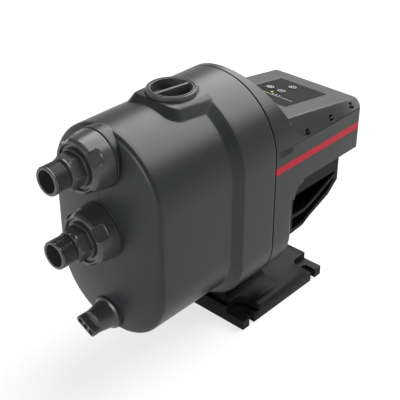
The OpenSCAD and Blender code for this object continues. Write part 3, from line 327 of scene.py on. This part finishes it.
def turned(profile, n, centre, axis="y", shape=None):
    """Closed profile of (radius, place) carried once round an axis; shape changes the radius on the way."""
    th = np.linspace(0, 2 * np.pi, n, endpoint=False)[None, :]
    r, a = (np.repeat(profile[:, k:k + 1], n, 1) for k in (0, 1))
    if shape is not None:
        r = shape(r, a, th + 0 * r)
    u, w = r * np.cos(th), r * np.sin(th)
    p = (centre[0] + u, a, centre[1] + w) if axis == "y" else (centre[0] + u, centre[1] + w, a)
    return np.stack(p, -1), True, True


def thread(r, a, th, start, end, pitch, depth, least):
    """Screw thread: the radius falls by depth in a V that moves one pitch a turn and fades at both ends."""
    phase = (a / pitch - th / (2 * np.pi)) % 1.0
    vee = np.clip(np.abs(2 * phase - 1) * 1.7 - 0.5, 0, 1)
    fade = smooth((a - start) / pitch) * smooth((end - a) / pitch)
    return np.where(r > least, r - depth * vee * fade, r)


# Pump casing


CROWN_Z, SHELL_R, HEEL_Z, HEEL_R = 219.0, 89.0, 102.0, 64.0
NOSE_R, NOSE_HEEL_Z, NOSE_HEEL_R = 83.5, 120.5, 79.0
SEAM_Y, SHOULDER_Y, SHOULDER_LEN = -31.75, -87.0, 15.0
FACE_Y, DOME_R, DOME_MID, ROUND = -223.0, 330.0, 76.0, 6.0
PAD_HALF, PAD_FLARE, PAD_FRONT, PAD_RUN, PAD_SIDE_RUN = 33.0, 0.1, -140.0, 9.5, 8.5
PAD_CORNER, PAD_LEVEL, PAD_Z, PAD_MELT, PAD_EVEN_HALF, PAD_EVEN_FADE = 10.0, 0.75, 307.5, 0.5, 25, 18
PAD_FROM_Z, PAD_REACH, PAD_Y0, PAD_Y1, PAD_RUN_MOST, PAD_SINK = 270, 50, -165, -84, 40, 0.3
SKIN_WALL, LIP_R, SHOULDER_MELT, PITCH, NECK_BORE = 2.0, 0.9, 0.05, 2.309, 26.3
TOP_SIDE_Z, FACE_SIDE_Y = 280, -195
PLUG_HOLE_R, PORT_HOLE_R, DRAIN_HOLE_R = 29.5, 27.0, 21.2
PORT_Z, LOWER_Z, DRAIN_Z, PRIMING_Y = 270.0, 180.0, 64.6, -110.0


def outline(r, h, zh, inset):
    """Closed outline round the crown, sides, heels and flat bottom, moved in by inset along its normals."""
    crown = np.radians(np.r_[0:18:1.25, 18:33:0.5, 33:90:2.2])
    side = np.linspace(0, 1, 22)[:-1]
    heel = np.radians(np.linspace(0, 90, 30)[:-1])
    flat = np.linspace(0, 1, 4)
    cx = np.r_[0 * crown, 0 * side, 0 * heel + r - h, (r - h) * (1 - flat)]
    cz = np.r_[0 * crown + CROWN_Z, CROWN_Z + (zh - CROWN_Z) * side, 0 * heel + zh, 0 * flat + zh]
    rad = np.r_[0 * crown + r, 0 * side + r, 0 * heel + h, 0 * flat + h]
    dx = np.r_[np.sin(crown), 1 + 0 * side, np.cos(heel), 0 * flat]
    dz = np.r_[np.cos(crown), 0 * side, -np.sin(heel), -1 + 0 * flat]
    x, z = cx + (rad - inset) * dx, cz + (rad - inset) * dz
    return np.c_[x, -x[:, :0:-1][:, 1:]], np.c_[z, z[:, :0:-1][:, 1:]]


def pad_height(x, y):
    """Height of the pad: the crown, drawn level near the plug, inside a rounded plan that widens backwards.

    Ruled slopes lead from the edge of the plan down to the nose.
    """
    half = PAD_HALF + PAD_FLARE * np.maximum(y - PAD_FRONT - PAD_CORNER, 0)
    qx, qy = np.abs(x) - (half - PAD_CORNER), PAD_FRONT + PAD_CORNER - y
    ox, oy = np.maximum(qx, 0), np.maximum(qy, 0)
    gone = np.hypot(ox, oy)
    d = gone + np.minimum(np.maximum(qx, qy), 0) - PAD_CORNER
    nx, ny = ox / np.maximum(gone, 1e-9), oy / np.maximum(gone, 1e-9)
    run = 1 / np.sqrt((nx / PAD_SIDE_RUN) ** 2 + (ny / PAD_RUN) ** 2 + 1e-12)
    run = np.minimum(run, PAD_RUN_MOST)
    ex = np.abs(x) - nx * np.maximum(d, 0)
    top = CROWN_Z + np.sqrt(SHELL_R ** 2 - ex ** 2)
    top = top + PAD_LEVEL * (PAD_Z - top) * (1 - smooth((ex - PAD_EVEN_HALF) / PAD_EVEN_FADE))
    foot = CROWN_Z + np.sqrt(NOSE_R ** 2 - np.clip(ex + nx * run, 0, 70) ** 2) - PAD_SINK
    return top + (foot - top) * soft_ramp(d, PAD_MELT) / run


def casing_rows():
    """Rows from the seam to the middle of the face: place y, share of the raised outline, inset."""
    turn = np.linspace(0, np.pi / 2, 4)
    lip = np.c_[SEAM_Y - LIP_R * (1 - np.cos(turn)), 1 + 0 * turn, LIP_R * (1 - np.sin(turn))]
    y = np.r_[-35:-84:14j, -85:-104:32j, -105.5:-136:20j, -137:-153:28j, -156:-204:13j]
    t = (SHOULDER_Y - y) / SHOULDER_LEN
    w = np.clip(1 - (soft_ramp(t, SHOULDER_MELT) - soft_ramp(t - 1, SHOULDER_MELT)), 0, 1)
    body = np.c_[y, w, 0 * y]
    off, reach = DOME_MID - ROUND, DOME_R - ROUND
    round_y = FACE_Y + DOME_R - np.sqrt(reach ** 2 - off ** 2)
    lean = np.linspace(0, np.pi / 2 - np.arcsin(off / reach), 10)
    edge = np.c_[round_y - ROUND * np.sin(lean), 0 * lean, ROUND * (1 - np.cos(lean))]
    s = np.linspace(edge[-1, 2], DOME_MID, 26)[1:]
    dome = np.c_[FACE_Y + DOME_R - np.sqrt(DOME_R ** 2 - (DOME_MID - s) ** 2), 0 * s, s]
    flat = np.array([(FACE_Y, 0, 77.5), (FACE_Y, 0, 79.0)])
    return np.concatenate([lip, body, edge, dome, flat])


def bored(p, f, centre, r, ab, side, snap=True):
    """Drop the faces inside a round hole and move the points of the faces on its rim out to the rim."""
    v = p[:, ab] - centre
    d = np.linalg.norm(v, axis=1)
    inside = (d < r) & side
    f = f[~inside[f].all(1)]
    if snap:
        rim = np.unique(f[inside[f]])
        p = p.copy()
        p[np.ix_(rim, ab)] = centre + v[rim] / d[rim, None] * r
    return p, f


def casing_holes(p, f):
    """Holes of the priming neck, the two ports and the drain."""
    p, f = bored(p, f, (0, PRIMING_Y), PLUG_HOLE_R, [0, 1], p[:, 2] > TOP_SIDE_Z)
    face = p[:, 1] < FACE_SIDE_Y
    p, f = bored(p, f, (0, PORT_Z), PORT_HOLE_R, [0, 2], face, False)
    p, f = bored(p, f, (0, LOWER_Z), PORT_HOLE_R, [0, 2], face, False)
    return bored(p, f, (0, DRAIN_Z), DRAIN_HOLE_R, [0, 2], face)


def casing_skin():
    """Casing wall: the nose's outline, raised to the crown's over the shoulder and rounded into the domed face."""
    rows = casing_rows()
    y, w, s = (rows[:, k:k + 1] for k in range(3))
    nx, nz = outline(NOSE_R, NOSE_HEEL_R, NOSE_HEEL_Z, s)
    rx, rz = outline(SHELL_R, HEEL_R, HEEL_Z, s)
    x, z = nx + w * (rx - nx), nz + w * (rz - nz)
    yy = y + 0 * x
    on_pad = (z > PAD_FROM_Z) & (np.abs(x) < PAD_REACH) & (yy > PAD_Y0) & (yy < PAD_Y1)
    hp = pad_height(x, yy)
    z = np.where(on_pad, z + soft_ramp(hp - z, PAD_MELT), z)
    g = np.stack([x, yy, z], -1)
    mid = np.stack([0 * x[-1], 0 * x[-1] + FACE_Y, np.clip(z[-1], NOSE_HEEL_Z, CROWN_Z)], -1)
    return np.concatenate([g, mid[None]]), False, True, casing_holes


def port_boss(z):
    """Boss and threaded stub of one union, with its waterway."""
    prof = dense(eased([(12.5, -238, 0.4), (23.2, -238, 0.5), (23.9, -237, 0.3), (23.9, -224, 0.3),
                        (34, -224, 1.3), (34, -211, 0.5), (30, -197, 0.5), (12.5, -197, 0.5)]), 0.7)
    return turned(prof, 120, (0, z), "y", lambda r, a, th: np.where(
        a < -224.3, thread(r, a, th, -237, -225, PITCH, 1.1, 23.4), r))


skin = piece("casing_skin", [casing_skin()], "shell", "pump", ("pump_casing",), crease=40)
wall = skin.modifiers.new("wall", "SOLIDIFY")
wall.thickness = SKIN_WALL * MM
wall.offset = -1


def priming_neck():
    """Neck of the priming hole, threaded inside."""
    prof = dense(eased([(NECK_BORE, 307, 0.3), (29.7, 307, 0.4), (29.7, 288, 0.4), (NECK_BORE, 288, 0.4)]), 0.6)
    return turned(prof, 144, (0, PRIMING_Y), "z", lambda r, a, th: np.where(
        r < 27, NECK_BORE + thread(1 + 0 * r, a, th, 289, 306, 3, -0.6, 0) - 1, r))


piece("casing_bosses", [
    port_boss(PORT_Z), port_boss(LOWER_Z),
    turned(dense(eased([(10.8, -220, 0.3), (21, -220, 0.8), (21, -203, 0.5), (10.8, -203, 0.5)]), 1.5), 120,
           (0, DRAIN_Z)),
    priming_neck(),
], "shell", "pump")


def face_groove():
    """Shallow moulded line down the face with one kink: a low rectangle carried along its path."""
    path = np.array([(0, 237), (0, 233), (1.5, 231.4), (0, 229.8), (0, 222)], float)
    t = np.gradient(path, axis=0)
    n = np.stack([t[:, 1], -t[:, 0]], 1) / np.linalg.norm(t, axis=1, keepdims=True) * 0.45
    x = path[:, None, 0] + n[:, None, 0] * np.array([1, -1, -1, 1])
    z = path[:, None, 1] + n[:, None, 1] * np.array([1, -1, -1, 1])
    y = FACE_Y + np.array([-0.06, -0.06, 0.3, 0.3])[None] + 0 * x
    g = np.stack([x, y, z], -1)
    return capped(g), False, True


# The line takes the painted-shade finish, so its darkness is painted shade of a groove
piece("face_groove", [face_groove()], "shell", "pump", crease=30, finish="groove")


# Unions


NUT_FRONT, HEX_REAR, HEX_FRONT, HEX_HALF = -252.4, -253.4, -266.4, 17.5
HEX_CORNER_R, HEX_LEAST_R, HEX_END_R, HEX_END_RISE = 20.207, 17.7, 18.4, 1.6
GRIP_TURN, GRIP_HALF, GRIP_LEN, GRIP_CORNER, GRIP_R, GRIP_LEAN = np.radians(36), 4.5, 10.5, 4.0, 27.2, 0.27
GRIP_DEPTH, GRIP_MELT, NUT_WALL_R = 0.9, 0.5, 26.5


def union_nut(z):
    """Union nut with four flat grips, deepest at the open front, rounded behind, at 36 degrees and each 90 on."""
    prof = dense(eased([(24.2, -224.5, 0.4), (33.5, -224.5, 1.0), (31.2, -249, 0.8), (29, NUT_FRONT, 0.7),
                        (25.6, NUT_FRONT, 0.5), (24.8, -249.6, 0.4), (21.6, -249.2, 0.3), (21.6, -246.4, 0.3),
                        (24.2, -246.4, 0.3)]), 0.5)

    def grips(r, y, th):
        """Radius with the grips cut in: rounded rectangles on the unrolled wall with flat, leaning floors."""
        near = (th - GRIP_TURN + np.pi / 4) % (np.pi / 2) - np.pi / 4
        qx, qy = np.abs(r * near) - GRIP_HALF, y - NUT_FRONT - GRIP_LEN
        d = np.hypot(np.maximum(qx, 0), np.maximum(qy, 0)) + np.minimum(np.maximum(qx, qy), 0) - GRIP_CORNER
        floor_r = (GRIP_R + GRIP_LEAN * (y - NUT_FRONT)) / np.cos(near)
        cut = np.minimum(floor_r, r - GRIP_DEPTH)
        return np.where(r > NUT_WALL_R, r + (cut - r) * smooth(0.5 - d / GRIP_MELT), r)

    return turned(prof, 360, (0, z), "y", grips)


def tailpiece(z):
    """Tailpiece round a waterway: turned rows, hexagon rows and rows that climb with the thread.

    The hexagon has a corner to +X and chamfered ends.
    """
    hexagon_y = [HEX_REAR, -253.8, -254.2, -254.7, -265.1, -265.6, -266.0, HEX_FRONT]
    lead = eased([(12.5, -240, 0.3), (23.4, -240, 0.4), (23.4, -246, 0.4), (21.1, -246, 0.3), (21.1, HEX_REAR, 0.3)]
                 + [(HEX_CORNER_R, y, 0) for y in hexagon_y]
                 + [(17.4, HEX_FRONT, 0.2), (17.4, -269.4, 0.5), (15.6, -269.4, 0.2), (15.6, -270.2, 0.1)])[:-2]
    end = eased([(16.3, -288.6, 0), (16.3, -289.4, 0.3), (15.5, -290.4, 0.3), (13.1, -290.4, 0.3),
                 (12.5, -289.6, 0.2)])[2:]
    columns = 121
    th = np.linspace(0, 2 * np.pi, columns)[None, :]
    first, last, crest = -270.2, -288.6, 16.3
    u = np.arange(first + PITCH, last - PITCH, -PITCH / 10)[:, None]
    y = np.clip(u - PITCH * th / (2 * np.pi) + 0 * th, last, first)
    vee = np.clip(np.abs(2 * ((u / PITCH) % 1.0) - 1) * 1.9 - 0.45, 0, 1)
    r = crest - 1.5 * vee * smooth((y - last) / PITCH) - 0.7 * smooth((y - first) / PITCH + 1)
    rows = [(np.repeat(q[:, :1], columns, 1), np.repeat(q[:, 1:], columns, 1)) for q in (lead, end)]
    r = np.concatenate([rows[0][0], r, rows[1][0]])
    y = np.concatenate([rows[0][1], y, rows[1][1]])
    near = (th + np.pi / 6) % (np.pi / 3) - np.pi / 6
    ends = np.minimum(y - HEX_FRONT, HEX_REAR - y)
    hexed = np.minimum(HEX_HALF / np.cos(np.pi / 6 - np.abs(near)), HEX_END_R + HEX_END_RISE * ends)
    r = np.where((r > HEX_LEAST_R) & (ends >= -1e-6), np.minimum(r, hexed), r)
    return np.stack([r * np.cos(th), y, z + r * np.sin(th)], -1), True, False


for name, z in (("upper", PORT_Z), ("lower", LOWER_Z)):
    for node, form, crease in ((name + "_nut", union_nut, 45), (name + "_tailpiece", tailpiece, 30)):
        piece(node + "_skin", [form(z)], "union", body_of(node), (node,), crease=crease)


# Priming plug


def grip_bar(half, length, low, high, turn, centre):
    """Bar with rounded upper edges: a section carried along its length and closed to a line at both ends."""
    sec = eased([(-half, low, 0.2), (half, low, 0.2), (half, high, 1.4), (-half, high, 1.4)])
    y = np.r_[-length, -length, np.linspace(-length, length, 9)[1:-1], length, length]
    k = np.ones(len(y))
    k[[0, -1]] = 0
    x, z = sec[:, 0][None] * k[:, None], np.repeat(sec[None, :, 1], len(y), 0)
    yy = y[:, None] + 0 * x
    c, s = np.cos(np.radians(turn)), np.sin(np.radians(turn))
    return np.stack([centre[0] + c * x - s * yy, centre[1] + s * x + c * yy, z], -1), False, True


def priming_plug():
    """Plug ring with two lips round a cup, its thread below, turned about the plug's upright axis."""
    prof = dense(eased([(0, 288, 0), (25.4, 288, 0.6), (26, 291, 0.2), (23.3, 291, 0.2), (23.3, 294, 0.2),
                        (26, 294, 0.2), (26, 307, 0.2), (28.7, 307, 0.5), (28.7, 312, 1.6), (26.7, 312, 0.4),
                        (26.5, 310.8, 0.3), (25.4, 310.8, 0.3), (25.2, 312, 0.4), (23.3, 312, 0.7),
                        (23.1, 300, 0.8), (0, 300, 0)]), 0.5)
    return turned(prof, 160, (0, PRIMING_Y), "z", lambda r, a, th: np.where(
        (a > 294.2) & (a < 306.8) & (r > 25.5), thread(r, a, th, 294.5, 306.6, 3, 0.8, 25), r))


piece("priming_plug_skin", [priming_plug(), grip_bar(2.2, 23.6, 299.5, 311.2, -9.5, (0, PRIMING_Y))], "plug",
      body_of("priming_plug"), ("priming_plug",), crease=35)


# Covers, base, drain plug and stripe

merged("motor_cover", "shell", crease=20.0)
for node, width, slot in (("fan_cover", 0.6, "black"), ("base_plate", 0.8, "black"),
                          ("drain_plug", 0.5, "union"), ("trim_stripe", 0.3, "stripe")):
    bevelled(node, width, slot)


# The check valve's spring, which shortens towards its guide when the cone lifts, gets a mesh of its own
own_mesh(merged("valve_spring", "steel"))


# Control lid


PANEL_X, PANEL_Y, PANEL_Z0, PANEL_TILT = 14.0, 142.0, 236.5, np.arctan(0.155)


def on_panel(a, b, c):
    """Point of the sloping panel: a across, b from its rear edge, c above it."""
    st, ct = np.sin(PANEL_TILT), np.cos(PANEL_TILT)
    return np.stack([PANEL_X + a, PANEL_Y + b * ct + c * st, PANEL_Z0 - b * st + c * ct], -1)


LID_LOW, LID_X0, LID_X1, LID_REAR, CHAMFER_W, LID_ROUND = 226.5, -60.5, 88.5, 141.5, 11.0, 7.5
LID_MELT, LID_WALL = 0.9, 2.5
DISPLAY_X, DISPLAY_Y = (-21.35, 49.35), (31.2, 116.4)
WELL_Z, WELL_R, WELL_DEPTH, WELL_WALL, WELL_LEAN = 233.0, 4.2, 4.0, 0.6, 0.08
LID_SCREWS = [(side, y) for side in (-1, 1) for y in (30, 79, 124)]


def lid_height(x, y):
    """Height of the lid: the sloping panel less a softened ramp over each side's chamfer."""
    zp = PANEL_Z0 + (PANEL_Y - y) * np.tan(PANEL_TILT)
    fall = (zp - LID_LOW - 1) / CHAMFER_W
    right, left = fall * (x - LID_X1 + CHAMFER_W), fall * (LID_X0 + CHAMFER_W - x)
    return zp - soft_ramp(right, LID_MELT) - soft_ramp(left, LID_MELT)


def well_axis(side, y):
    """Middle of a screw well on the chamfer of one side, and the chamfer's normal there."""
    fall = (PANEL_Z0 + (PANEL_Y - y) * np.tan(PANEL_TILT) - LID_LOW - 1) / CHAMFER_W
    x = (LID_X1 if side > 0 else LID_X0) - side * (WELL_Z - LID_LOW - 1) / fall
    n = np.array([side * fall, WELL_LEAN, 1.0])
    return np.array([x, y, WELL_Z]), n / np.linalg.norm(n)


def lid_holes(p, f):
    """Opening of the display and the six screw wells."""
    x, y, _ = p[f].mean(1).T
    f = f[~((x > DISPLAY_X[0]) & (x < DISPLAY_X[1]) & (y > DISPLAY_Y[0]) & (y < DISPLAY_Y[1]))]
    for side, y in LID_SCREWS:
        c, n = well_axis(side, y)
        v = p - c
        along = v @ n
        out = v - along[:, None] * n
        d = np.linalg.norm(out, axis=1)
        inside = (d < WELL_R) & (np.abs(along) < 3)
        f = f[~inside[f].all(1)]
        rim = np.unique(f[inside[f]])
        p = p.copy()
        p[rim] += out[rim] * (WELL_R / d[rim] - 1)[:, None]
    return p, f


def lid_skin():
    """Lid: its height over a plan with rounded rear corners, with upright edges at the sides and the rear."""
    y = np.unique(np.r_[-1:LID_REAR:144j, DISPLAY_Y])[:, None]
    x = np.unique(np.r_[LID_X0:-49.5:17j, -49:DISPLAY_X[0]:10j, DISPLAY_X[0]:DISPLAY_X[1]:18j,
                        DISPLAY_X[1]:77:10j, 77.5:LID_X1:17j])[None, :]
    reach = np.sqrt(np.maximum(LID_ROUND ** 2 - np.maximum(y - LID_REAR + LID_ROUND, 0) ** 2, 0))
    x = np.clip(x + 0 * y, LID_X0 + LID_ROUND - reach, LID_X1 - LID_ROUND + reach)
    y = y + 0 * x
    g = np.stack([x, y, lid_height(x, y)], -1)
    plan, foot = np.array([1, 1, 0]), np.array([0, 0, LID_LOW])
    g = np.concatenate([g[:, :1] * plan + foot, g, g[:, -1:] * plan + foot], 1)
    return np.concatenate([g, g[-1:] * plan + foot]), False, False, lid_holes


def screw_well(side, y):
    """Cup of one screw well: a closed profile turned about the chamfer's normal."""
    c, n = well_axis(side, y)
    u = np.cross(n, (0, 1, 0))
    u /= np.linalg.norm(u)
    v = np.cross(n, u)
    th = np.linspace(0, 2 * np.pi, 40, endpoint=False)[None, :, None]
    outer, under = WELL_R + WELL_WALL, -WELL_DEPTH - WELL_WALL
    r, h = np.array([(0, -WELL_DEPTH), (WELL_R, -WELL_DEPTH), (WELL_R, -0.1), (outer, -0.3), (outer, under),
                     (0, under)]).T
    return c + r[:, None, None] * (u * np.cos(th) + v * np.sin(th)) + h[:, None, None] * n, True, True


lid = piece("control_lid_skin", [lid_skin()], "shell", body_of("control_lid"), ("control_lid",), crease=30)
lid_wall = lid.modifiers.new("wall", "SOLIDIFY")
lid_wall.thickness = LID_WALL * MM
lid_wall.offset = -1
wells = [screw_well(*w) for w in LID_SCREWS]
# The screw wells take the painted-shade finish, so their dark inside is painted shade
piece("lid_screw_wells", wells, "shell", body_of("control_lid"), finish="groove")


# Panel signs


def ribbon(path, width, low, high, closed):
    """Flat printed line: a low rectangle carried along a path in the panel's plane."""
    q = np.asarray(path, float)
    if closed:
        t = np.roll(q, -1, 0) - np.roll(q, 1, 0)
    else:
        t = np.gradient(q, axis=0)
    t /= np.linalg.norm(t, axis=1, keepdims=True)
    n = np.stack([-t[:, 1], t[:, 0]], 1) * width / 2
    side = np.array([1, -1, -1, 1])
    up = np.array([high, high, low, low])
    a = q[:, None, 0] + n[:, None, 0] * side
    b = q[:, None, 1] + n[:, None, 1] * side
    g = on_panel(a, b, up[None] + 0 * a)
    return (g if closed else capped(g)), closed, True


def arc(cx, cy, r, a0, a1, n=40, closed=False):
    """Points of an arc in the panel's plane, angles in degrees."""
    t = np.radians(np.linspace(a0, a1, n, endpoint=not closed))
    return np.c_[cx + r * np.cos(t), cy + r * np.sin(t)]


def stroke(*pts):
    """Straight line through points, with a few points along each side."""
    q = np.asarray(pts, float)
    s = np.linspace(0, len(q) - 1, 8 * (len(q) - 1) + 1)
    return np.stack([np.interp(s, np.arange(len(q)), q[:, k]) for k in (0, 1)], 1)


KEY_TOP, RING_R, FILM_LOW, FILM_HIGH = 1.02, 4.6, 0.1, 0.26
KEYS = (
    ("button_power", (-19.5, -70), (arc(-19.5, -70, 2.1, 120, 420), stroke((-19.5, -67.2), (-19.5, -70)))),
    ("button_mode", (-1, -70.5), (stroke((-3.2, -71.6), (-1, -68.8), (1.2, -71.6)),)),
    ("button_reset", (-2.5, -45.5), (arc(-2.5, -45.5, 2.1, 60, 360), stroke((-1.4, -43.2), (-0.3, -42.2)))),
)
for node, (a, b), glyph in KEYS:
    low, high = KEY_TOP - 0.1, KEY_TOP + 0.06
    lines = [ribbon(arc(a, b, RING_R, 0, 360, 60, True), 0.55, low, high, True)]
    lines += [ribbon(path, 0.6, low, high, False) for path in glyph]
    piece(node + "_sign", lines, "buttons", body_of(node), finish="print")
marks = [ribbon(stroke((-30, -90), (30, -90)), 0.5, FILM_LOW, FILM_HIGH, False)]
marks += [ribbon(arc(-7 + 5 * k, -86, 0.7, 0, 360, 24, True), 0.5, FILM_LOW, FILM_HIGH, True) for k in (1, 2, 3)]
piece("display_marks", marks, "display", "pump", finish="print")


# Floor, light and camera


GLOW_SHARE, FLOOR_Z, WORLD_STRENGTH = 0.72, -0.0005, 0.12


def stage_plane(name, size, z):
    """Square floor centred under the pump."""
    v = np.array([(-1, -1, 0), (1, -1, 0), (1, 1, 0), (-1, 1, 0)], float) * size + (0, 0, z)
    me = bpy.data.meshes.new(name)
    me.from_pydata(v.tolist(), [], [(0, 1, 2, 3)])
    o = bpy.data.objects.new(name, me)
    bpy.context.collection.objects.link(o)
    return o


def white_floor():
    """Pale floor that the camera and mirrors see nearly white, with a share of its lit colour and shadow kept."""
    m = bpy.data.materials.new("studio_white")
    m.use_nodes = True
    t = m.node_tree
    b = t.nodes["Principled BSDF"]
    b.inputs["Base Color"].default_value = (0.92, 0.92, 0.92, 1)
    b.inputs["Roughness"].default_value = 0.9
    glow = t.nodes.new("ShaderNodeEmission")
    glow.inputs["Strength"].default_value = 1.0
    path = t.nodes.new("ShaderNodeLightPath")
    seen = path.outputs["Is Camera Ray"]
    for extra in ("Is Glossy Ray", "Is Transmission Ray"):
        top = t.nodes.new("ShaderNodeMath")
        top.operation = "MAXIMUM"
        link(t, seen, top.inputs[0])
        link(t, path.outputs[extra], top.inputs[1])
        seen = top.outputs[0]
    share = t.nodes.new("ShaderNodeMath")
    share.operation = "MULTIPLY"
    share.inputs[1].default_value = GLOW_SHARE
    link(t, seen, share.inputs[0])
    mix = t.nodes.new("ShaderNodeMixShader")
    link(t, share.outputs[0], mix.inputs["Fac"])
    link(t, b.outputs[0], mix.inputs[1])
    link(t, glow.outputs[0], mix.inputs[2])
    link(t, mix.outputs[0], t.nodes["Material Output"].inputs["Surface"])
    return m


floor = stage_plane("studio_floor", size=8.0, z=FLOOR_Z)
floor.data.materials.append(white_floor())


def stage_wall(name, radius, height):
    """Round pale wall at the floor's edge: one ring of quads."""
    th = np.linspace(0, 2 * np.pi, 96, endpoint=False)
    ring = np.stack([radius * np.cos(th), radius * np.sin(th), 0 * th + FLOOR_Z], 1)
    me = bpy.data.meshes.new(name)
    points = np.concatenate([ring, ring + (0, 0, height)])
    me.from_pydata(points.tolist(), [], grid_faces(2, len(ring), False, True).tolist())
    o = bpy.data.objects.new(name, me)
    bpy.context.collection.objects.link(o)
    return o


stage_wall("studio_wall", radius=7.5, height=2.2).data.materials.append(floor.data.materials[0])

world = bpy.data.worlds.new("studio")
bpy.context.scene.world = world
world.use_nodes = True
world.node_tree.nodes["Background"].inputs["Color"].default_value = (1, 1, 1, 1)
world.node_tree.nodes["Background"].inputs["Strength"].default_value = WORLD_STRENGTH


def lamp(name, place, aim, size, power):
    """Soft rectangular lamp at place, facing aim."""
    d = bpy.data.lights.new(name, "AREA")
    d.shape = "RECTANGLE"
    d.size, d.size_y = size
    d.energy = power
    o = bpy.data.objects.new(name, d)
    o.location = place
    o.rotation_euler = (Vector(aim) - Vector(place)).to_track_quat("-Z", "Y").to_euler()
    bpy.context.collection.objects.link(o)
    return o


lamp("back_light", place=(-0.05, 2.1, 2.55), aim=(0, -0.05, 0.25), size=(4.3, 2.5), power=300)
lamp("front_light", place=(0.2, -2.1, 0.8), aim=(0.02, -0.2, 0.2), size=(1.4, 0.8), power=34)

cam = bpy.data.cameras.new("photo_camera")
cam.sensor_width = 36.0
cam.lens = 83.38
cam_ob = bpy.data.objects.new("photo_camera", cam)
eye, aim = Vector((0.6477, -0.7716, 0.7400)), Vector((0.003643, -0.067677, 0.148798))
cam_ob.location = eye
cam_ob.rotation_euler = (aim - eye).to_track_quat("-Z", "Y").to_euler()
bpy.context.collection.objects.link(cam_ob)
bpy.context.scene.camera = cam_ob
bpy.context.scene.view_settings.view_transform = "Standard"
